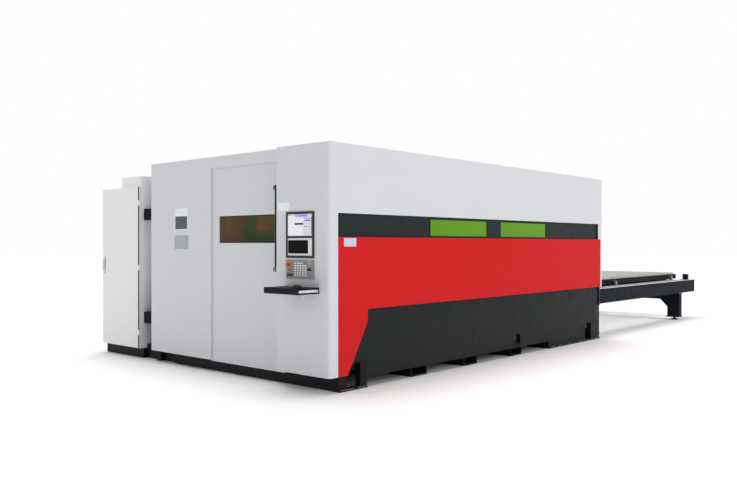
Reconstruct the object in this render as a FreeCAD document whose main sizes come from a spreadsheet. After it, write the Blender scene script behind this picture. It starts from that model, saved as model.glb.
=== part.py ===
import FreeCAD, Part
import math
import os

import Sketcher

# Sheet-metal laser cutting machine with a closed cabin, a two-level pallet table and an
# electric cabinet.  Millimetres.  X runs from the operator face to the pallet table, Y across
# the cabin (the long red side is at -Y), Z up.  Sizes along X are measured from the operator
# face; the parts are written with their origin on the floor under the front cross beam, in the
# middle of the cabin's width.

doc = FreeCAD.newDocument("LaserCuttingMachine")

# ---------------------------------------------------------------------------------------------
# Driving sizes
# ---------------------------------------------------------------------------------------------

SIZES = [
    # cabin
    ("cabin_length", 5500, "cabin, operator face to rear face"),
    ("cabin_width", 2950, "cabin across"),
    ("cabin_height", 2250, "floor to the top edge of the panels"),
    ("datum_x", 200, "operator face to the part's origin, which is under the front beam"),
    ("skin", 3, "sheet thickness of covers and panels"),
    ("seam", 0.3, "gap between neighbouring covers"),
    ("panel_return", 25, "depth of a cover's folded edges"),
    ("frame_inset", 46, "outer face of a side cover to the frame posts"),
    ("post_depth", 45, "side post, across the cabin"),
    ("post_width", 60, "side post, along the cabin"),
    ("roof_rail", 60, "height of the roof rails"),
    ("roof_drop", 40, "top of the roof rails below the top edge"),
    ("roof_tray", 30, "height of a roof cover"),
    ("front_post_x", 175, "front face of the front posts"),
    ("post_second_x", 1395, "second row of posts"),
    ("post_third_x", 2680, "third row of posts"),
    ("post_fourth_x", 4000, "fourth row of posts"),
    # operator face
    ("console_width", 700, "console section of the operator face"),
    ("console_depth", 110, "console cover, front to back"),
    ("console_bottom", 145, "lower edge of the console cover"),
    ("corner_radius", 28, "rounded upright edge of the console cover"),
    ("face_setback", 85, "fixed front panel behind the console face"),
    ("face_return", 15, "folded edge of the fixed front panels"),
    ("face_bottom", 122, "lower edge of the fixed front panel"),
    ("doorway_width", 1135, "clear width beside the console"),
    ("header_height", 120, "header over the door"),
    # sliding door
    ("door_setback", 20, "door face behind the fixed front panel"),
    ("door_depth", 45, "door leaf, front to back"),
    ("door_overlap", 15, "door behind the fixed front panel"),
    ("door_bottom", 110, "lower edge of the door"),
    ("door_headroom", 5, "top of the door below the header edge"),
    ("door_window_width", 860, "viewing window in the door"),
    ("door_window_height", 265, "viewing window in the door"),
    ("door_window_sill", 1355, "lower edge of the viewing window"),
    ("door_window_inset", 140, "window to the door's closing edge"),
    ("pane_thick", 5, "laser-safe panes"),
    ("pane_lap", 14, "pane behind the edge of its opening"),
    ("handle_radius", 18, "door handle tube"),
    ("handle_bottom", 1074, "lower end of the door handle"),
    ("handle_length", 828, "door handle with its two ends"),
    ("handle_end", 46, "height of a handle end"),
    ("handle_width", 44, "width of a handle end"),
    ("handle_inset", 60, "handle axis to the door's closing edge"),
    ("handle_reach", 52, "handle axis in front of the door"),
    ("hanger_width", 120, "nylon glide on the door's top"),
    ("hanger_height", 70, "nylon glide on the door's top"),
    ("hanger_wall", 13, "wall of the glide in front of the track head"),
    ("track_head", 18, "head of the door track, front to back"),
    ("track_head_height", 30, "head of the door track"),
    ("track_web", 10, "web of the door track"),
    ("track_flange", 6, "bolting flange of the door track"),
    ("track_flange_height", 50, "bolting flange of the door track"),
    ("glide_gap", 0.3, "play between a glide and its track"),
    # long near side
    ("wrap", 110, "console cover round the corner"),
    ("band_bottom", 1402, "lower edge of the dark window band"),
    ("band_top", 1618, "upper edge of the dark window band"),
    ("band_end", 5391, "rear end of the dark window band"),
    ("band_recess", 20, "window band behind the side covers"),
    ("side_window_length", 1053, "green side window"),
    ("side_window_height", 167, "green side window"),
    ("side_window_sill", 1423, "lower edge of the side windows"),
    ("side_window_first_x", 1504, "front end of the first side window"),
    ("side_window_pitch", 1356, "first side window to the second"),
    ("red_bottom", 733, "lower edge of the red covers"),
    ("red_end", 5463, "rear end of the red covers"),
    ("red_seam_first_x", 1445, "seam between the red covers"),
    ("red_seam_second_x", 2766, "seam between the red covers"),
    ("leg_width_x", 510, "rear edge of the red leg"),
    ("leg_knee", 620, "height where the red leg starts to taper"),
    ("leg_foot_x", 241, "rear edge of the red leg at its lower end"),
    ("skirt_recess", 26, "dark skirt behind the side covers"),
    ("skirt_return", 20, "depth of the skirt's folded edges"),
    ("skirt_bottom", 95, "lower edge of the dark skirt"),
    ("skirt_end", 5385, "rear end of the dark skirt"),
    ("skirt_hole_x", 3160, "hand hole in the dark skirt"),
    ("skirt_hole_length", 145, "hand hole in the dark skirt"),
    ("skirt_hole_bottom", 129, "lower edge of the hand hole"),
    ("skirt_hole_height", 129, "hand hole in the dark skirt"),
    ("stiffener_width", 40, "upright hat stiffener behind a cover"),
    # base
    ("base_front_x", 155, "front face of the base"),
    ("base_top", 160, "top of the base beams"),
    ("base_beam", 95, "width of the cross beams of the base"),
    ("base_rail_width", 300, "width of the side rails of the base"),
    ("foot_height", 100, "feet under the side rails"),
    ("rear_foot_x", 4900, "front end of the rear corner foot"),
    ("rear_pocket_x", 5035, "lifting pocket of the rear corner foot"),
    ("corner_foot_x", 148, "front face of the corner foot"),
    ("corner_foot_length", 377, "corner foot along the side"),
    ("corner_foot_height", 258, "corner foot"),
    ("fork_pocket_x", 252, "lifting pocket of the corner foot"),
    ("fork_pocket_length", 182, "lifting pocket of the corner foot"),
    ("fork_pocket_sill", 18, "plate under the lifting pocket"),
    ("fork_pocket_height", 225, "lifting pocket of the corner foot"),
    ("channel_foot_length", 262, "channel-shaped foot along the side"),
    ("first_channel_x", 1214, "front end of the first channel-shaped foot"),
    ("second_channel_x", 2140, "front end of the second channel-shaped foot"),
    ("third_channel_x", 3110, "front end of the third channel-shaped foot"),
    ("sill_foot_x", 4010, "front end of the long closed foot"),
    ("sole_proud", 12, "bottom plates of the feet in front of the skirt"),
    ("channel_wall", 14, "wall of a channel-shaped foot"),
    ("front_beam_end_y", 1085, "far end of the front beam of the base"),
    ("far_beam_setback", 40, "far part of the front beam behind its near part"),
    # bed, gantry and cutting head
    ("bed_axis_y", -375, "centre line of the pallets, bed and table"),
    ("bed_half_width", 915, "pallet centre line to the inner face of a bed beam"),
    ("bed_beam_width", 90, "bed side beam across"),
    ("bed_beam_top", 850, "top of the bed side beams"),
    ("bed_front_x", 450, "front end of the bed"),
    ("bed_rear_x", 5370, "rear end of the bed"),
    ("bed_cross_height", 160, "cross beams of the bed"),
    ("bed_cross_width", 120, "cross beams of the bed"),
    ("guide_width", 30, "linear guide of the gantry"),
    ("guide_height", 35, "linear guide of the gantry"),
    ("guide_front_margin", 100, "front end of the bed to the gantry guides"),
    ("guide_rear_margin", 60, "gantry guides to the rear end of the bed"),
    ("cross_guide_depth", 25, "guides on the gantry beam, front to back"),
    ("cross_guide_margin", 30, "guides on the gantry beam, from its upper and lower edges"),
    ("cross_guide_inset", 20, "guides on the gantry beam, from its ends"),
    ("gantry_park_x", 900, "rear side of the parked gantry beam"),
    ("gantry_depth", 250, "gantry beam, front to back"),
    ("gantry_bottom", 950, "underside of the gantry beam"),
    ("gantry_height", 250, "gantry beam"),
    ("truck_length", 450, "gantry truck along the guides"),
    ("carriage_width", 300, "cross carriage"),
    ("carriage_depth", 60, "cross carriage"),
    ("carriage_height", 330, "cross carriage"),
    ("head_width", 130, "cutting head housing"),
    ("head_depth", 90, "cutting head housing"),
    ("head_height", 480, "cutting head housing"),
    ("head_bottom", 1010, "underside of the raised cutting head housing"),
    ("nozzle_length", 60, "nozzle holder and nozzle"),
    ("nozzle_radius", 26, "nozzle holder"),
    ("nozzle_tip_radius", 12, "end of the nozzle"),
    # pallet table
    ("table_gap", 15, "rear face of the cabin to the table"),
    ("table_end", 9670, "rear end of the table"),
    ("table_beam_offset", 45, "side of a pallet to the table's side beam"),
    ("ledge_gap", 5, "side of a pallet to the ledge under its rail"),
    ("table_beam_width", 120, "table side beam across"),
    ("table_beam_bottom", 470, "underside of the table beams"),
    ("rail_width", 40, "pallet rail"),
    ("rail_height", 15, "pallet rail"),
    ("upper_rail_top", 700, "running surface of the upper pallet rails"),
    ("lower_rail_top", 500, "running surface of the lower pallet rails"),
    ("rail_front_x", 1500, "front end of the pallet rails"),
    ("rail_joint", 8, "gap in the rails between cabin and table"),
    ("rail_end_x", 9400, "rear end of the pallet rails"),
    ("trestle_first_x", 5560, "front trestle of the table"),
    ("trestle_second_x", 8900, "rear trestle of the table"),
    ("trestle_leg_x", 120, "trestle leg along the table"),
    ("trestle_leg_y", 210, "trestle leg across the table"),
    ("trestle_cross_height", 100, "cross member of a trestle"),
    ("gusset_rise", 130, "gusset under the cross member"),
    ("flange_thick", 15, "flange plates of a trestle"),
    ("flange_margin", 20, "flange plate round its leg"),
    ("levelling_height", 45, "levelling foot under a trestle"),
    ("levelling_radius", 60, "disc of a levelling foot"),
    ("levelling_disc", 15, "disc of a levelling foot"),
    ("levelling_screw", 20, "radius of the levelling screw"),
    ("stop_length", 80, "end stop along the table"),
    ("stop_height", 105, "end stop over the beam"),
    ("end_beam_width", 110, "cross beam at the table's end"),
    # pallets
    ("pallet_front_x", 6050, "front end of the pallet on the table"),
    ("pallet_length", 3150, "pallet along the rails"),
    ("pallet_width", 1630, "pallet across"),
    ("pallet_travel", 4400, "table position to working position"),
    ("pallet_lift", 15, "underside of a pallet over its rails"),
    ("pallet_tube_width", 50, "pallet side tube across"),
    ("pallet_tube_height", 80, "pallet side tube"),
    ("pallet_bar_height", 30, "cross bars of a pallet"),
    ("pallet_bar_width", 60, "cross bars of a pallet"),
    ("slat_thick", 5, "serrated slat"),
    ("slat_height", 80, "serrated slat"),
    ("slat_seat", 45, "depth of the slots that hold the slats"),
    ("slat_slot_gap", 0.3, "slat to its slot, each side"),
    ("slat_end_wall", 10, "metal left outside the end of a slat"),
    ("slat_pitch", 150, "slat to slat"),
    ("slat_first", 75, "pallet end to the first slat"),
    ("tooth_pitch", 250, "teeth of a slat"),
    ("tooth_depth", 42, "teeth of a slat"),
    ("wheel_radius", 39.7, "pallet wheel"),
    ("wheel_width", 30, "pallet wheel"),
    ("wheel_gap", 0.3, "wheel over its rail"),
    ("wheel_side_gap", 5, "wheel to the inner edge of its rail"),
    ("wheel_bore_gap", 0.08, "radial play of a wheel on its axle"),
    ("axle_radius", 12, "stub axle of a pallet wheel"),
    ("wheel_inset", 420, "wheel axis to the pallet's end"),
    # controls
    ("screen_frame_width", 369, "dark frame of the screen"),
    ("screen_frame_height", 425, "dark frame of the screen"),
    ("screen_frame_bottom", 1210, "lower edge of the dark frame"),
    ("controls_inset", 189, "near side of the cabin to the screen frame"),
    ("bezel_depth", 10, "dark frame in front of the console face"),
    ("bezel_border", 20, "border of the dark frame"),
    ("screen_height", 205, "screen opening"),
    ("lower_window_height", 165, "opening under the screen"),
    ("screen_depth", 6, "screen and lower panel"),
    ("pad_width", 260, "black entry pad"),
    ("pad_inset", 12, "black entry pad to the far edge of its panel"),
    ("pad_height", 122, "black entry pad"),
    ("pad_depth", 5, "black entry pad"),
    ("operator_panel_height", 172, "grey operator panel"),
    ("operator_panel_bottom", 1020, "lower edge of the operator panel"),
    ("operator_panel_depth", 8, "grey operator panel"),
    ("keys_inset", 96, "near edge of the operator panel to the keys"),
    ("keys_rise", 24, "lower edge of the operator panel to the keys"),
    ("key_width", 26, "membrane key"),
    ("key_height", 16, "membrane key"),
    ("key_pitch_across", 33, "membrane keys across"),
    ("key_pitch_up", 22, "membrane keys up"),
    ("key_depth", 3, "membrane key"),
    ("stop_across", 325, "near edge of the operator panel to the emergency stop"),
    ("stop_up", 129, "lower edge of the operator panel to the emergency stop"),
    ("start_across", 338, "near edge of the operator panel to the start button"),
    ("start_up", 87, "lower edge of the operator panel to the start button"),
    ("halt_across", 312, "near edge of the operator panel to the halt button"),
    ("halt_up", 77, "lower edge of the operator panel to the halt button"),
    ("left_selector_across", 332, "near edge of the operator panel to the left selector"),
    ("right_selector_across", 292, "near edge of the operator panel to the right selector"),
    ("selector_up", 35, "lower edge of the operator panel to the selectors"),
    ("override_across", 52, "near edge of the operator panel to the override knob"),
    ("override_up", 88, "lower edge of the operator panel to the override knob"),
    ("button_radius", 10, "push button"),
    ("button_length", 11, "push button"),
    ("button_sunk", 1, "rear end of a push button inside the panel"),
    ("button_gap", 0.3, "push button in its bore"),
    ("knob_radius", 13, "rotary switch"),
    ("knob_length", 20, "rotary switch"),
    ("knob_grip", 7, "grip of a rotary switch"),
    ("stop_head_radius", 20, "mushroom head of the emergency stop"),
    ("stop_head_length", 14, "mushroom head of the emergency stop"),
    ("stop_stem_radius", 11, "stem of the emergency stop"),
    ("stop_stem_length", 20, "stem of the emergency stop"),
    ("stop_collar_radius", 30, "ring round the emergency stop"),
    ("stop_collar_depth", 4, "ring round the emergency stop"),
    ("tray_length", 453, "keyboard tray across"),
    ("tray_inset", 127, "near side of the cabin to the keyboard tray"),
    ("tray_reach", 260, "keyboard tray in front of the console"),
    ("tray_bottom", 893, "underside of the keyboard tray"),
    ("tray_height", 55, "keyboard tray"),
    ("tray_wall", 4, "sheet of the keyboard tray"),
    ("mouse_length", 112, "mouse"),
    ("mouse_width", 64, "mouse"),
    ("mouse_height", 34, "mouse"),
    ("mouse_reach", 45, "front edge of the keyboard tray to the mouse"),
    ("mouse_inset", 40, "near edge of the keyboard tray to the mouse"),
    # rear
    ("corner_rib_margin", 40, "rib of the rear corner cover, inside the band's edges"),
    ("entry_top", 905, "top of the pallet entry"),
    ("entry_margin", 40, "pallet entry past the bed beams"),
    ("shutter_height", 420, "raised shutter of the pallet entry"),
    ("shutter_thick", 16, "shutter of the pallet entry"),
    ("spigot_radius", 150, "fume extraction spigot, outside"),
    ("spigot_length", 110, "fume extraction spigot"),
    ("spigot_height", 1650, "axis of the extraction spigot"),
    ("spigot_y", 1060, "axis of the extraction spigot"),
    # electric cabinet
    ("cabinet_gap", 260, "cabin to the electric cabinet"),
    ("cabinet_width", 820, "electric cabinet across"),
    ("cabinet_front_x", 110, "front edge of the cabinet body"),
    ("cabinet_depth", 1200, "cabinet body, front to back"),
    ("cabinet_bottom", 115, "underside of the cabinet body"),
    ("cabinet_top", 2010, "top of the cabinet body"),
    ("cabinet_door_thick", 23, "cabinet door"),
    ("cabinet_door_gap", 2, "gasket gap behind the cabinet door"),
    ("plinth_setback", 35, "plinth behind the cabinet body's front"),
    ("roof_unit_width", 410, "unit on the cabinet's roof"),
    ("roof_unit_length", 790, "unit on the cabinet's roof"),
    ("roof_unit_height", 125, "unit on the cabinet's roof"),
    ("duct_width", 100, "cable duct to the cabin"),
    ("duct_height", 130, "cable duct to the cabin"),
    ("duct_x", 150, "front face of the cable ducts"),
    ("duct_low", 410, "underside of the lower cable duct"),
    ("duct_high", 1620, "underside of the upper cable duct"),
    ("lever_length", 120, "latch lever of the cabinet door"),
    ("lever_width", 24, "latch lever of the cabinet door"),
    ("lever_thick", 22, "latch lever of the cabinet door"),
    ("lever_axis", 1140, "axis of the latch lever"),
    ("lever_inset", 45, "latch lever to the door's free edge"),
    ("lever_spindle", 6, "radius of the lever's spindle"),
    ("pin_clearance", 0.08, "radial play of a pin in its bore"),
    ("hinge_offset", 7, "hinge axis outside the door's near front edge"),
    ("hinge_pin", 4, "radius of a hinge pin"),
    ("hinge_barrel", 7, "hinge axis to the edge of the hinge blocks"),
    ("hinge_arm", 26, "hinge blocks on the cabinet wall and on the door"),
    ("hinge_height", 30, "height of a hinge block"),
    ("hinge_margin", 160, "cabinet edge to the nearest hinge"),
    ("source_length", 900, "laser source"),
    ("source_width", 640, "laser source"),
    ("source_height", 560, "laser source"),
    ("source_inset", 150, "front of the cabinet body to the laser source"),
    ("rack_plate_thick", 40, "mounting plate of the drives"),
    ("rack_plate_margin", 40, "cabinet walls to the mounting plate"),
    ("rack_plate_foot", 120, "laser source to the mounting plate"),
    ("rack_plate_head", 90, "mounting plate to the cabinet's top"),
    ("drive_depth", 170, "row of drives, front to back"),
    ("drive_margin", 90, "cabinet walls to the drives"),
    ("drive_foot", 200, "laser source to the lowest row of drives"),
    ("drive_pitch", 330, "row to row of drives"),
    ("drive_height", 220, "row of drives"),
]

sheet = doc.addObject("Spreadsheet::Sheet", "Sizes")


class Length:
    """A length that is known both as a number and as the sheet formula that gives it."""

    def __init__(self, number, formula):
        self.number = float(number)
        self.formula = formula

    def __add__(self, other):
        other = length(other)
        return Length(self.number + other.number, f"({self.formula} + {other.formula})")

    def __radd__(self, other):
        return length(other) + self

    def __sub__(self, other):
        other = length(other)
        return Length(self.number - other.number, f"({self.formula} - {other.formula})")

    def __rsub__(self, other):
        return length(other) - self

    def __mul__(self, factor):
        factor = length(factor)
        return Length(self.number * factor.number, f"({self.formula} * {factor.formula})")

    __rmul__ = __mul__

    def __truediv__(self, factor):
        factor = length(factor)
        return Length(self.number / factor.number, f"({self.formula} / {factor.formula})")

    def __neg__(self):
        return Length(-self.number, f"(0 - {self.formula})")


def length(thing):
    """A plain number as a Length; a Length stays as it is."""
    if isinstance(thing, Length):
        return thing
    return Length(thing, repr(float(thing)))


class Sheet:
    """The driving sizes by name."""


S = Sheet()
for row, (alias, number, meaning) in enumerate(SIZES, start=1):
    sheet.set(f"A{row}", alias)
    sheet.set(f"B{row}", str(number))
    sheet.set(f"C{row}", meaning)
    sheet.setAlias(f"B{row}", alias)
    setattr(S, alias, Length(number, f"Sizes.{alias}"))
doc.recompute()

# ---------------------------------------------------------------------------------------------
# Building blocks
# ---------------------------------------------------------------------------------------------

nodes = []


def node(label, thing):
    """Name a finished sub-part."""
    thing.Label = label
    nodes.append(thing)
    return thing


def bind(thing, prop, value):
    """Tie one property of an object to a size."""
    thing.setExpression(prop, length(value).formula)


def block(name, x, y, z):
    """A rectangular block between two limits on each axis."""
    solid = doc.addObject("Part::Box", name)
    for prop, (low, high) in zip(("Length", "Width", "Height"), (x, y, z)):
        bind(solid, prop, length(high) - low)
    for axis, (low, high) in zip("xyz", (x, y, z)):
        bind(solid, ".Placement.Base." + axis, low)
    return solid


AXIS_TURNS = {
    "x": FreeCAD.Rotation(FreeCAD.Vector(0, 1, 0), 90),
    "y": FreeCAD.Rotation(FreeCAD.Vector(1, 0, 0), -90),
    "z": FreeCAD.Rotation(),
}


def place(solid, axis, start):
    """Turn a round primitive's axis along x, y or z and put its start point."""
    solid.Placement.Rotation = AXIS_TURNS[axis]
    for name, value in zip("xyz", start):
        bind(solid, ".Placement.Base." + name, value)
    return solid


def rod(name, axis, start, radius, reach):
    """A cylinder that starts at a point and runs along +x, +y or +z."""
    solid = doc.addObject("Part::Cylinder", name)
    bind(solid, "Radius", radius)
    bind(solid, "Height", reach)
    return place(solid, axis, start)


def prism(name, axis, start, radius, reach, sides=24):
    """A many-sided bar that starts at a point and runs along +x, +y or +z; radius is to its edges."""
    solid = doc.addObject("Part::Prism", name)
    solid.Polygon = sides
    bind(solid, "Circumradius", radius)
    bind(solid, "Height", reach)
    return place(solid, axis, start)


def around(radius, sides):
    """Radius to the edges of a many-sided hole whose flats are at the given radius."""
    return length(radius) * (1 / math.cos(math.pi / sides))


def ring(a, b, radius, sides=24):
    """Points of a many-sided outline round a centre."""
    turns = [2 * math.pi * index / sides for index in range(sides)]
    return [(length(a) + length(radius) * math.cos(turn), length(b) + length(radius) * math.sin(turn))
            for turn in turns]


def fuse(name, solids):
    """One solid from several that meet."""
    joined = doc.addObject("Part::MultiFuse", name)
    joined.Shapes = solids
    joined.Refine = True
    return joined


def cut(name, base, tools):
    """A solid with openings taken out."""
    if len(tools) == 1:
        tool = tools[0]
    else:
        tool = doc.addObject("Part::Compound", name + "Tools")
        tool.Links = tools
    result = doc.addObject("Part::Cut", name)
    result.Base = base
    result.Tool = tool
    return result


def group(name, solids):
    """Like pieces that share one node and stay separate solids."""
    pieces = doc.addObject("Part::Compound", name)
    pieces.Links = solids
    return pieces


PLANES = {"XY": "XY_Plane", "XZ": "XZ_Plane", "YZ": "YZ_Plane"}


def new_body(name):
    return doc.addObject("PartDesign::Body", name)


def sketch(body, name, plane, level, outlines):
    """Closed outlines of points on one of the body's own planes, at a level along its axis."""
    drawing = body.newObject("Sketcher::SketchObject", name)
    wanted = PLANES[plane]
    drawing.AttachmentSupport = [
        (origin, "") for origin in body.Origin.OriginFeatures if origin.Role == wanted
    ]
    drawing.MapMode = "FlatFace"
    away = -length(level) if plane == "XZ" else length(level)
    bind(drawing, ".AttachmentOffset.Base.z", away)
    for outline in outlines:
        draw_outline(drawing, [(length(a), length(b)) for a, b in outline])
    return drawing


def draw_outline(drawing, points):
    """Lines from point to point, with each point's two distances tied to the sheet."""
    first = drawing.GeometryCount
    count = len(points)
    for index, (a, b) in enumerate(points):
        after = points[(index + 1) % count]
        start = FreeCAD.Vector(a.number, b.number, 0)
        end = FreeCAD.Vector(after[0].number, after[1].number, 0)
        drawing.addGeometry(Part.LineSegment(start, end), False)
    for index, (a, b) in enumerate(points):
        line = first + index
        following = first + (index + 1) % count
        drawing.addConstraint(Sketcher.Constraint("Coincident", line, 2, following, 1))
        for kind, value in (("DistanceX", a), ("DistanceY", b)):
            number = drawing.addConstraint(
                Sketcher.Constraint(kind, -1, 1, line, 1, value.number)
            )
            drawing.setExpression(f"Constraints[{number}]", value.formula)


def circle_sketch(body, name, plane, level, circles):
    """Circles given by centre and radius on one of the body's own planes."""
    drawing = sketch(body, name, plane, level, [])
    for centre_a, centre_b, radius in circles:
        a, b, r = length(centre_a), length(centre_b), length(radius)
        circle = Part.Circle(FreeCAD.Vector(a.number, b.number, 0), FreeCAD.Vector(0, 0, 1), r.number)
        ring = drawing.addGeometry(circle, False)
        for kind, value in (("DistanceX", a), ("DistanceY", b)):
            number = drawing.addConstraint(
                Sketcher.Constraint(kind, -1, 1, ring, 3, value.number)
            )
            drawing.setExpression(f"Constraints[{number}]", value.formula)
        number = drawing.addConstraint(Sketcher.Constraint("Radius", ring, r.number))
        drawing.setExpression(f"Constraints[{number}]", r.formula)
    return drawing


def pad(body, name, plane, outlines, low, high):
    """Material between two levels along the plane's axis."""
    start = high if plane == "XZ" else low
    drawing = sketch(body, name + "Outline", plane, start, outlines)
    feature = body.newObject("PartDesign::Pad", name)
    feature.Profile = drawing
    bind(feature, "Length", length(high) - low)
    return feature


def pocket(body, name, plane, outlines, low, high):
    """An opening between two levels along the plane's axis."""
    start = low if plane == "XZ" else high
    drawing = sketch(body, name + "Outline", plane, start, outlines)
    return pocket_from(body, name, drawing, length(high) - low)


def round_pocket(body, name, plane, circles, low, high):
    """Round openings between two levels along the plane's axis."""
    start = low if plane == "XZ" else high
    drawing = circle_sketch(body, name + "Circles", plane, start, circles)
    return pocket_from(body, name, drawing, length(high) - low)


def pocket_from(body, name, drawing, depth):
    feature = body.newObject("PartDesign::Pocket", name)
    feature.Profile = drawing
    bind(feature, "Length", depth)
    return feature


def rectangle(a, b):
    """Corner points of a rectangle from its two spans."""
    return [(a[0], b[0]), (a[1], b[0]), (a[1], b[1]), (a[0], b[1])]


def shrink(span, by):
    return (length(span[0]) + by, length(span[1]) - by)


def folded_panel(name, plane, across, up, face, inward, wall=None):
    """A rectangular cover: a skin on its outer face with a folded edge all round.

    face is the outer face's level, inward the level that the folded edge reaches.
    """
    wall = wall or S.skin
    low, high, inner_low, inner_high = cover_levels(face, inward, wall)
    body = new_body(name)
    pad(body, name + "Blank", plane, [rectangle(across, up)], low, high)
    inside = [rectangle(shrink(across, wall), shrink(up, wall))]
    pocket(body, name + "Hollow", plane, inside, inner_low, inner_high)
    return body


def cover_levels(face, inward, wall):
    """Levels of a cover's blank and of the hollow behind its skin."""
    if length(face).number < length(inward).number:
        return face, inward, length(face) + wall, inward
    return inward, face, inward, length(face) - wall


# ---------------------------------------------------------------------------------------------
# Planes that several sub-parts share
# ---------------------------------------------------------------------------------------------

near = -S.cabin_width / 2
far = S.cabin_width / 2
near_post = near + S.frame_inset
far_post = far - S.frame_inset
near_post_inner = near_post + S.post_depth
far_post_inner = far_post - S.post_depth
console_side = near + S.console_width
door_end = console_side + S.doorway_width
frame_top = S.cabin_height - S.roof_drop
header_bottom = S.cabin_height - S.header_height
rail_bottom = frame_top - S.roof_rail
rear_post_x = S.cabin_length - S.panel_return - S.post_width
rear_post_end = S.cabin_length - S.panel_return
front_post_end = S.front_post_x + S.post_width

bed_near = S.bed_axis_y - S.bed_half_width
bed_far = S.bed_axis_y + S.bed_half_width
bed_near_outer = bed_near - S.bed_beam_width
bed_far_outer = bed_far + S.bed_beam_width

post_rows = [S.front_post_x, S.post_second_x, S.post_third_x, S.post_fourth_x, rear_post_x]


# ---------------------------------------------------------------------------------------------
# Base: cross beams, side rails and the feet under them
# ---------------------------------------------------------------------------------------------


def build_base():
    near_rail = (near_post, near_post + S.base_rail_width)
    far_rail = (far_post - S.base_rail_width, far_post)
    front = (S.base_front_x, S.base_front_x + S.base_beam)
    rear = (rear_post_end - S.base_beam, rear_post_end)
    corner_end = S.corner_foot_x + S.corner_foot_length
    beams = [
        block("FrontBeam", front, (near_post_inner, S.front_beam_end_y), (0, S.base_top)),
        block("FrontBeamFar", (front[0] + S.far_beam_setback, front[1] + S.far_beam_setback),
              (S.front_beam_end_y, far_post_inner), (0, S.base_top)),
        block("RearBeam", rear, (near_post_inner, far_post_inner), (0, S.base_top)),
    ]
    for side, rail in (("Near", near_rail), ("Far", far_rail)):
        beams.append(block(side + "Rail", (corner_end, S.rear_foot_x), rail,
                           (S.foot_height, S.base_top)))

    feet = []
    for side, rail, outer in (
        ("Near", near_rail, near + S.skirt_recess),
        ("Far", far_rail, far - S.skirt_recess),
    ):
        low = outer if side == "Near" else far_post_inner
        high = near_post_inner if side == "Near" else outer
        front_pocket = S.fork_pocket_x if side == "Near" else None
        feet.append(corner_foot(side + "Front", (S.corner_foot_x, corner_end), front_pocket,
                                low, high))
        feet.append(corner_foot(side + "Rear", (S.rear_foot_x, rear_post_end), S.rear_pocket_x,
                                low, high))
        for index, start in enumerate((S.first_channel_x, S.second_channel_x, S.third_channel_x)):
            feet.append(channel_foot(f"{side}Channel{index}", start,
                                     start + S.channel_foot_length, rail, side))
        lip = (outer, near_post) if side == "Near" else (far_post, outer)
        feet.append(block(side + "SillFoot", (S.sill_foot_x, S.rear_foot_x), rail, (0, S.foot_height)))
        feet.append(block(side + "SillApron", (S.sill_foot_x, S.rear_foot_x), lip,
                          (0, S.skirt_bottom - S.seam)))
        sole = (outer - S.sole_proud, outer) if side == "Near" else (outer, outer + S.sole_proud)
        for end, span in (("Front", (S.corner_foot_x, corner_end)),
                          ("Rear", (S.sill_foot_x, rear_post_end))):
            feet.append(block(f"{side}{end}Sole", span, sole, (0, S.channel_wall)))
    node("base_frame", group("BaseFrame", beams + feet))


def corner_foot(name, span, pocket_start, low, high):
    """A tall foot, with a lifting pocket right through it where a fork can reach it."""
    body = new_body(name + "Foot")
    pad(body, name + "FootBlank", "XZ", [rectangle(span, (0, S.corner_foot_height))], low, high)
    if pocket_start is None:
        return body
    hole = (pocket_start, length(pocket_start) + S.fork_pocket_length)
    rise = (S.fork_pocket_sill, S.fork_pocket_sill + S.fork_pocket_height)
    pocket(body, name + "FootPocket", "XZ", [rectangle(hole, rise)], low, high)
    return body


def channel_foot(name, start, end, rail, side):
    """A low foot of rectangular channel, open towards the side of the machine."""
    if side == "Near":
        low, high = near + S.skirt_recess + S.skirt_return, rail[1]
    else:
        low, high = rail[0], far - S.skirt_recess - S.skirt_return
    body = new_body(name)
    span = (length(start), length(end))
    pad(body, name + "Blank", "XZ", [rectangle(span, (0, S.foot_height))], low, high)
    opening = rectangle(shrink(span, S.channel_wall), (S.channel_wall, S.foot_height - S.channel_wall))
    pocket(body, name + "Opening", "XZ", [opening], low, high)
    return body


# ---------------------------------------------------------------------------------------------
# Cabin frame: posts, roof rails and roof covers
# ---------------------------------------------------------------------------------------------


def build_frame():
    members = []
    near_span = (near_post, near_post_inner)
    far_span = (far_post_inner, far_post)
    for index, start in enumerate(post_rows):
        along = (start, start + S.post_width)
        is_front = index == 0
        foot = S.corner_foot_height if is_front or index == len(post_rows) - 1 else S.base_top
        for side, span in (("Near", near_span), ("Far", far_span)):
            members.append(block(f"{side}Post{index}", along, span, (foot, rail_bottom)))
        members.append(block(f"CrossRail{index}", along, (near_post_inner, far_post_inner),
                             (rail_bottom, frame_top)))
    for side, span in (("Near", near_span), ("Far", far_span)):
        members.append(block(side + "RoofRail", (S.front_post_x, rear_post_end), span,
                             (rail_bottom, frame_top)))
    door_jambs = (
        ("ConsoleJamb", console_side - S.post_width, S.base_top),
        ("DoorJamb", door_end + S.door_overlap, S.base_top),
    )
    for name, start, foot in door_jambs:
        members.append(block(name, (S.front_post_x, front_post_end),
                             (start, start + S.post_width), (foot, rail_bottom)))
    members.append(block("EntryJamb", (rear_post_x, rear_post_end),
                         (bed_far_outer + S.entry_margin, bed_far_outer + S.entry_margin + S.post_width),
                         (S.base_top, rail_bottom)))
    node("cabin_frame", group("CabinFrame", members))

    covers = []
    roof_start = S.console_depth + S.seam
    bay = (rear_post_end - roof_start) / 3
    for index in range(3):
        start = roof_start + bay * index
        covers.append(folded_panel(f"RoofCover{index}", "XY",
                                   (start, start + bay - S.seam), (near_post, far_post),
                                   frame_top + S.roof_tray, frame_top))
    node("roof_covers", group("RoofCovers", covers))


# ---------------------------------------------------------------------------------------------
# Operator face: console cover, fixed panels and header
# ---------------------------------------------------------------------------------------------


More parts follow.
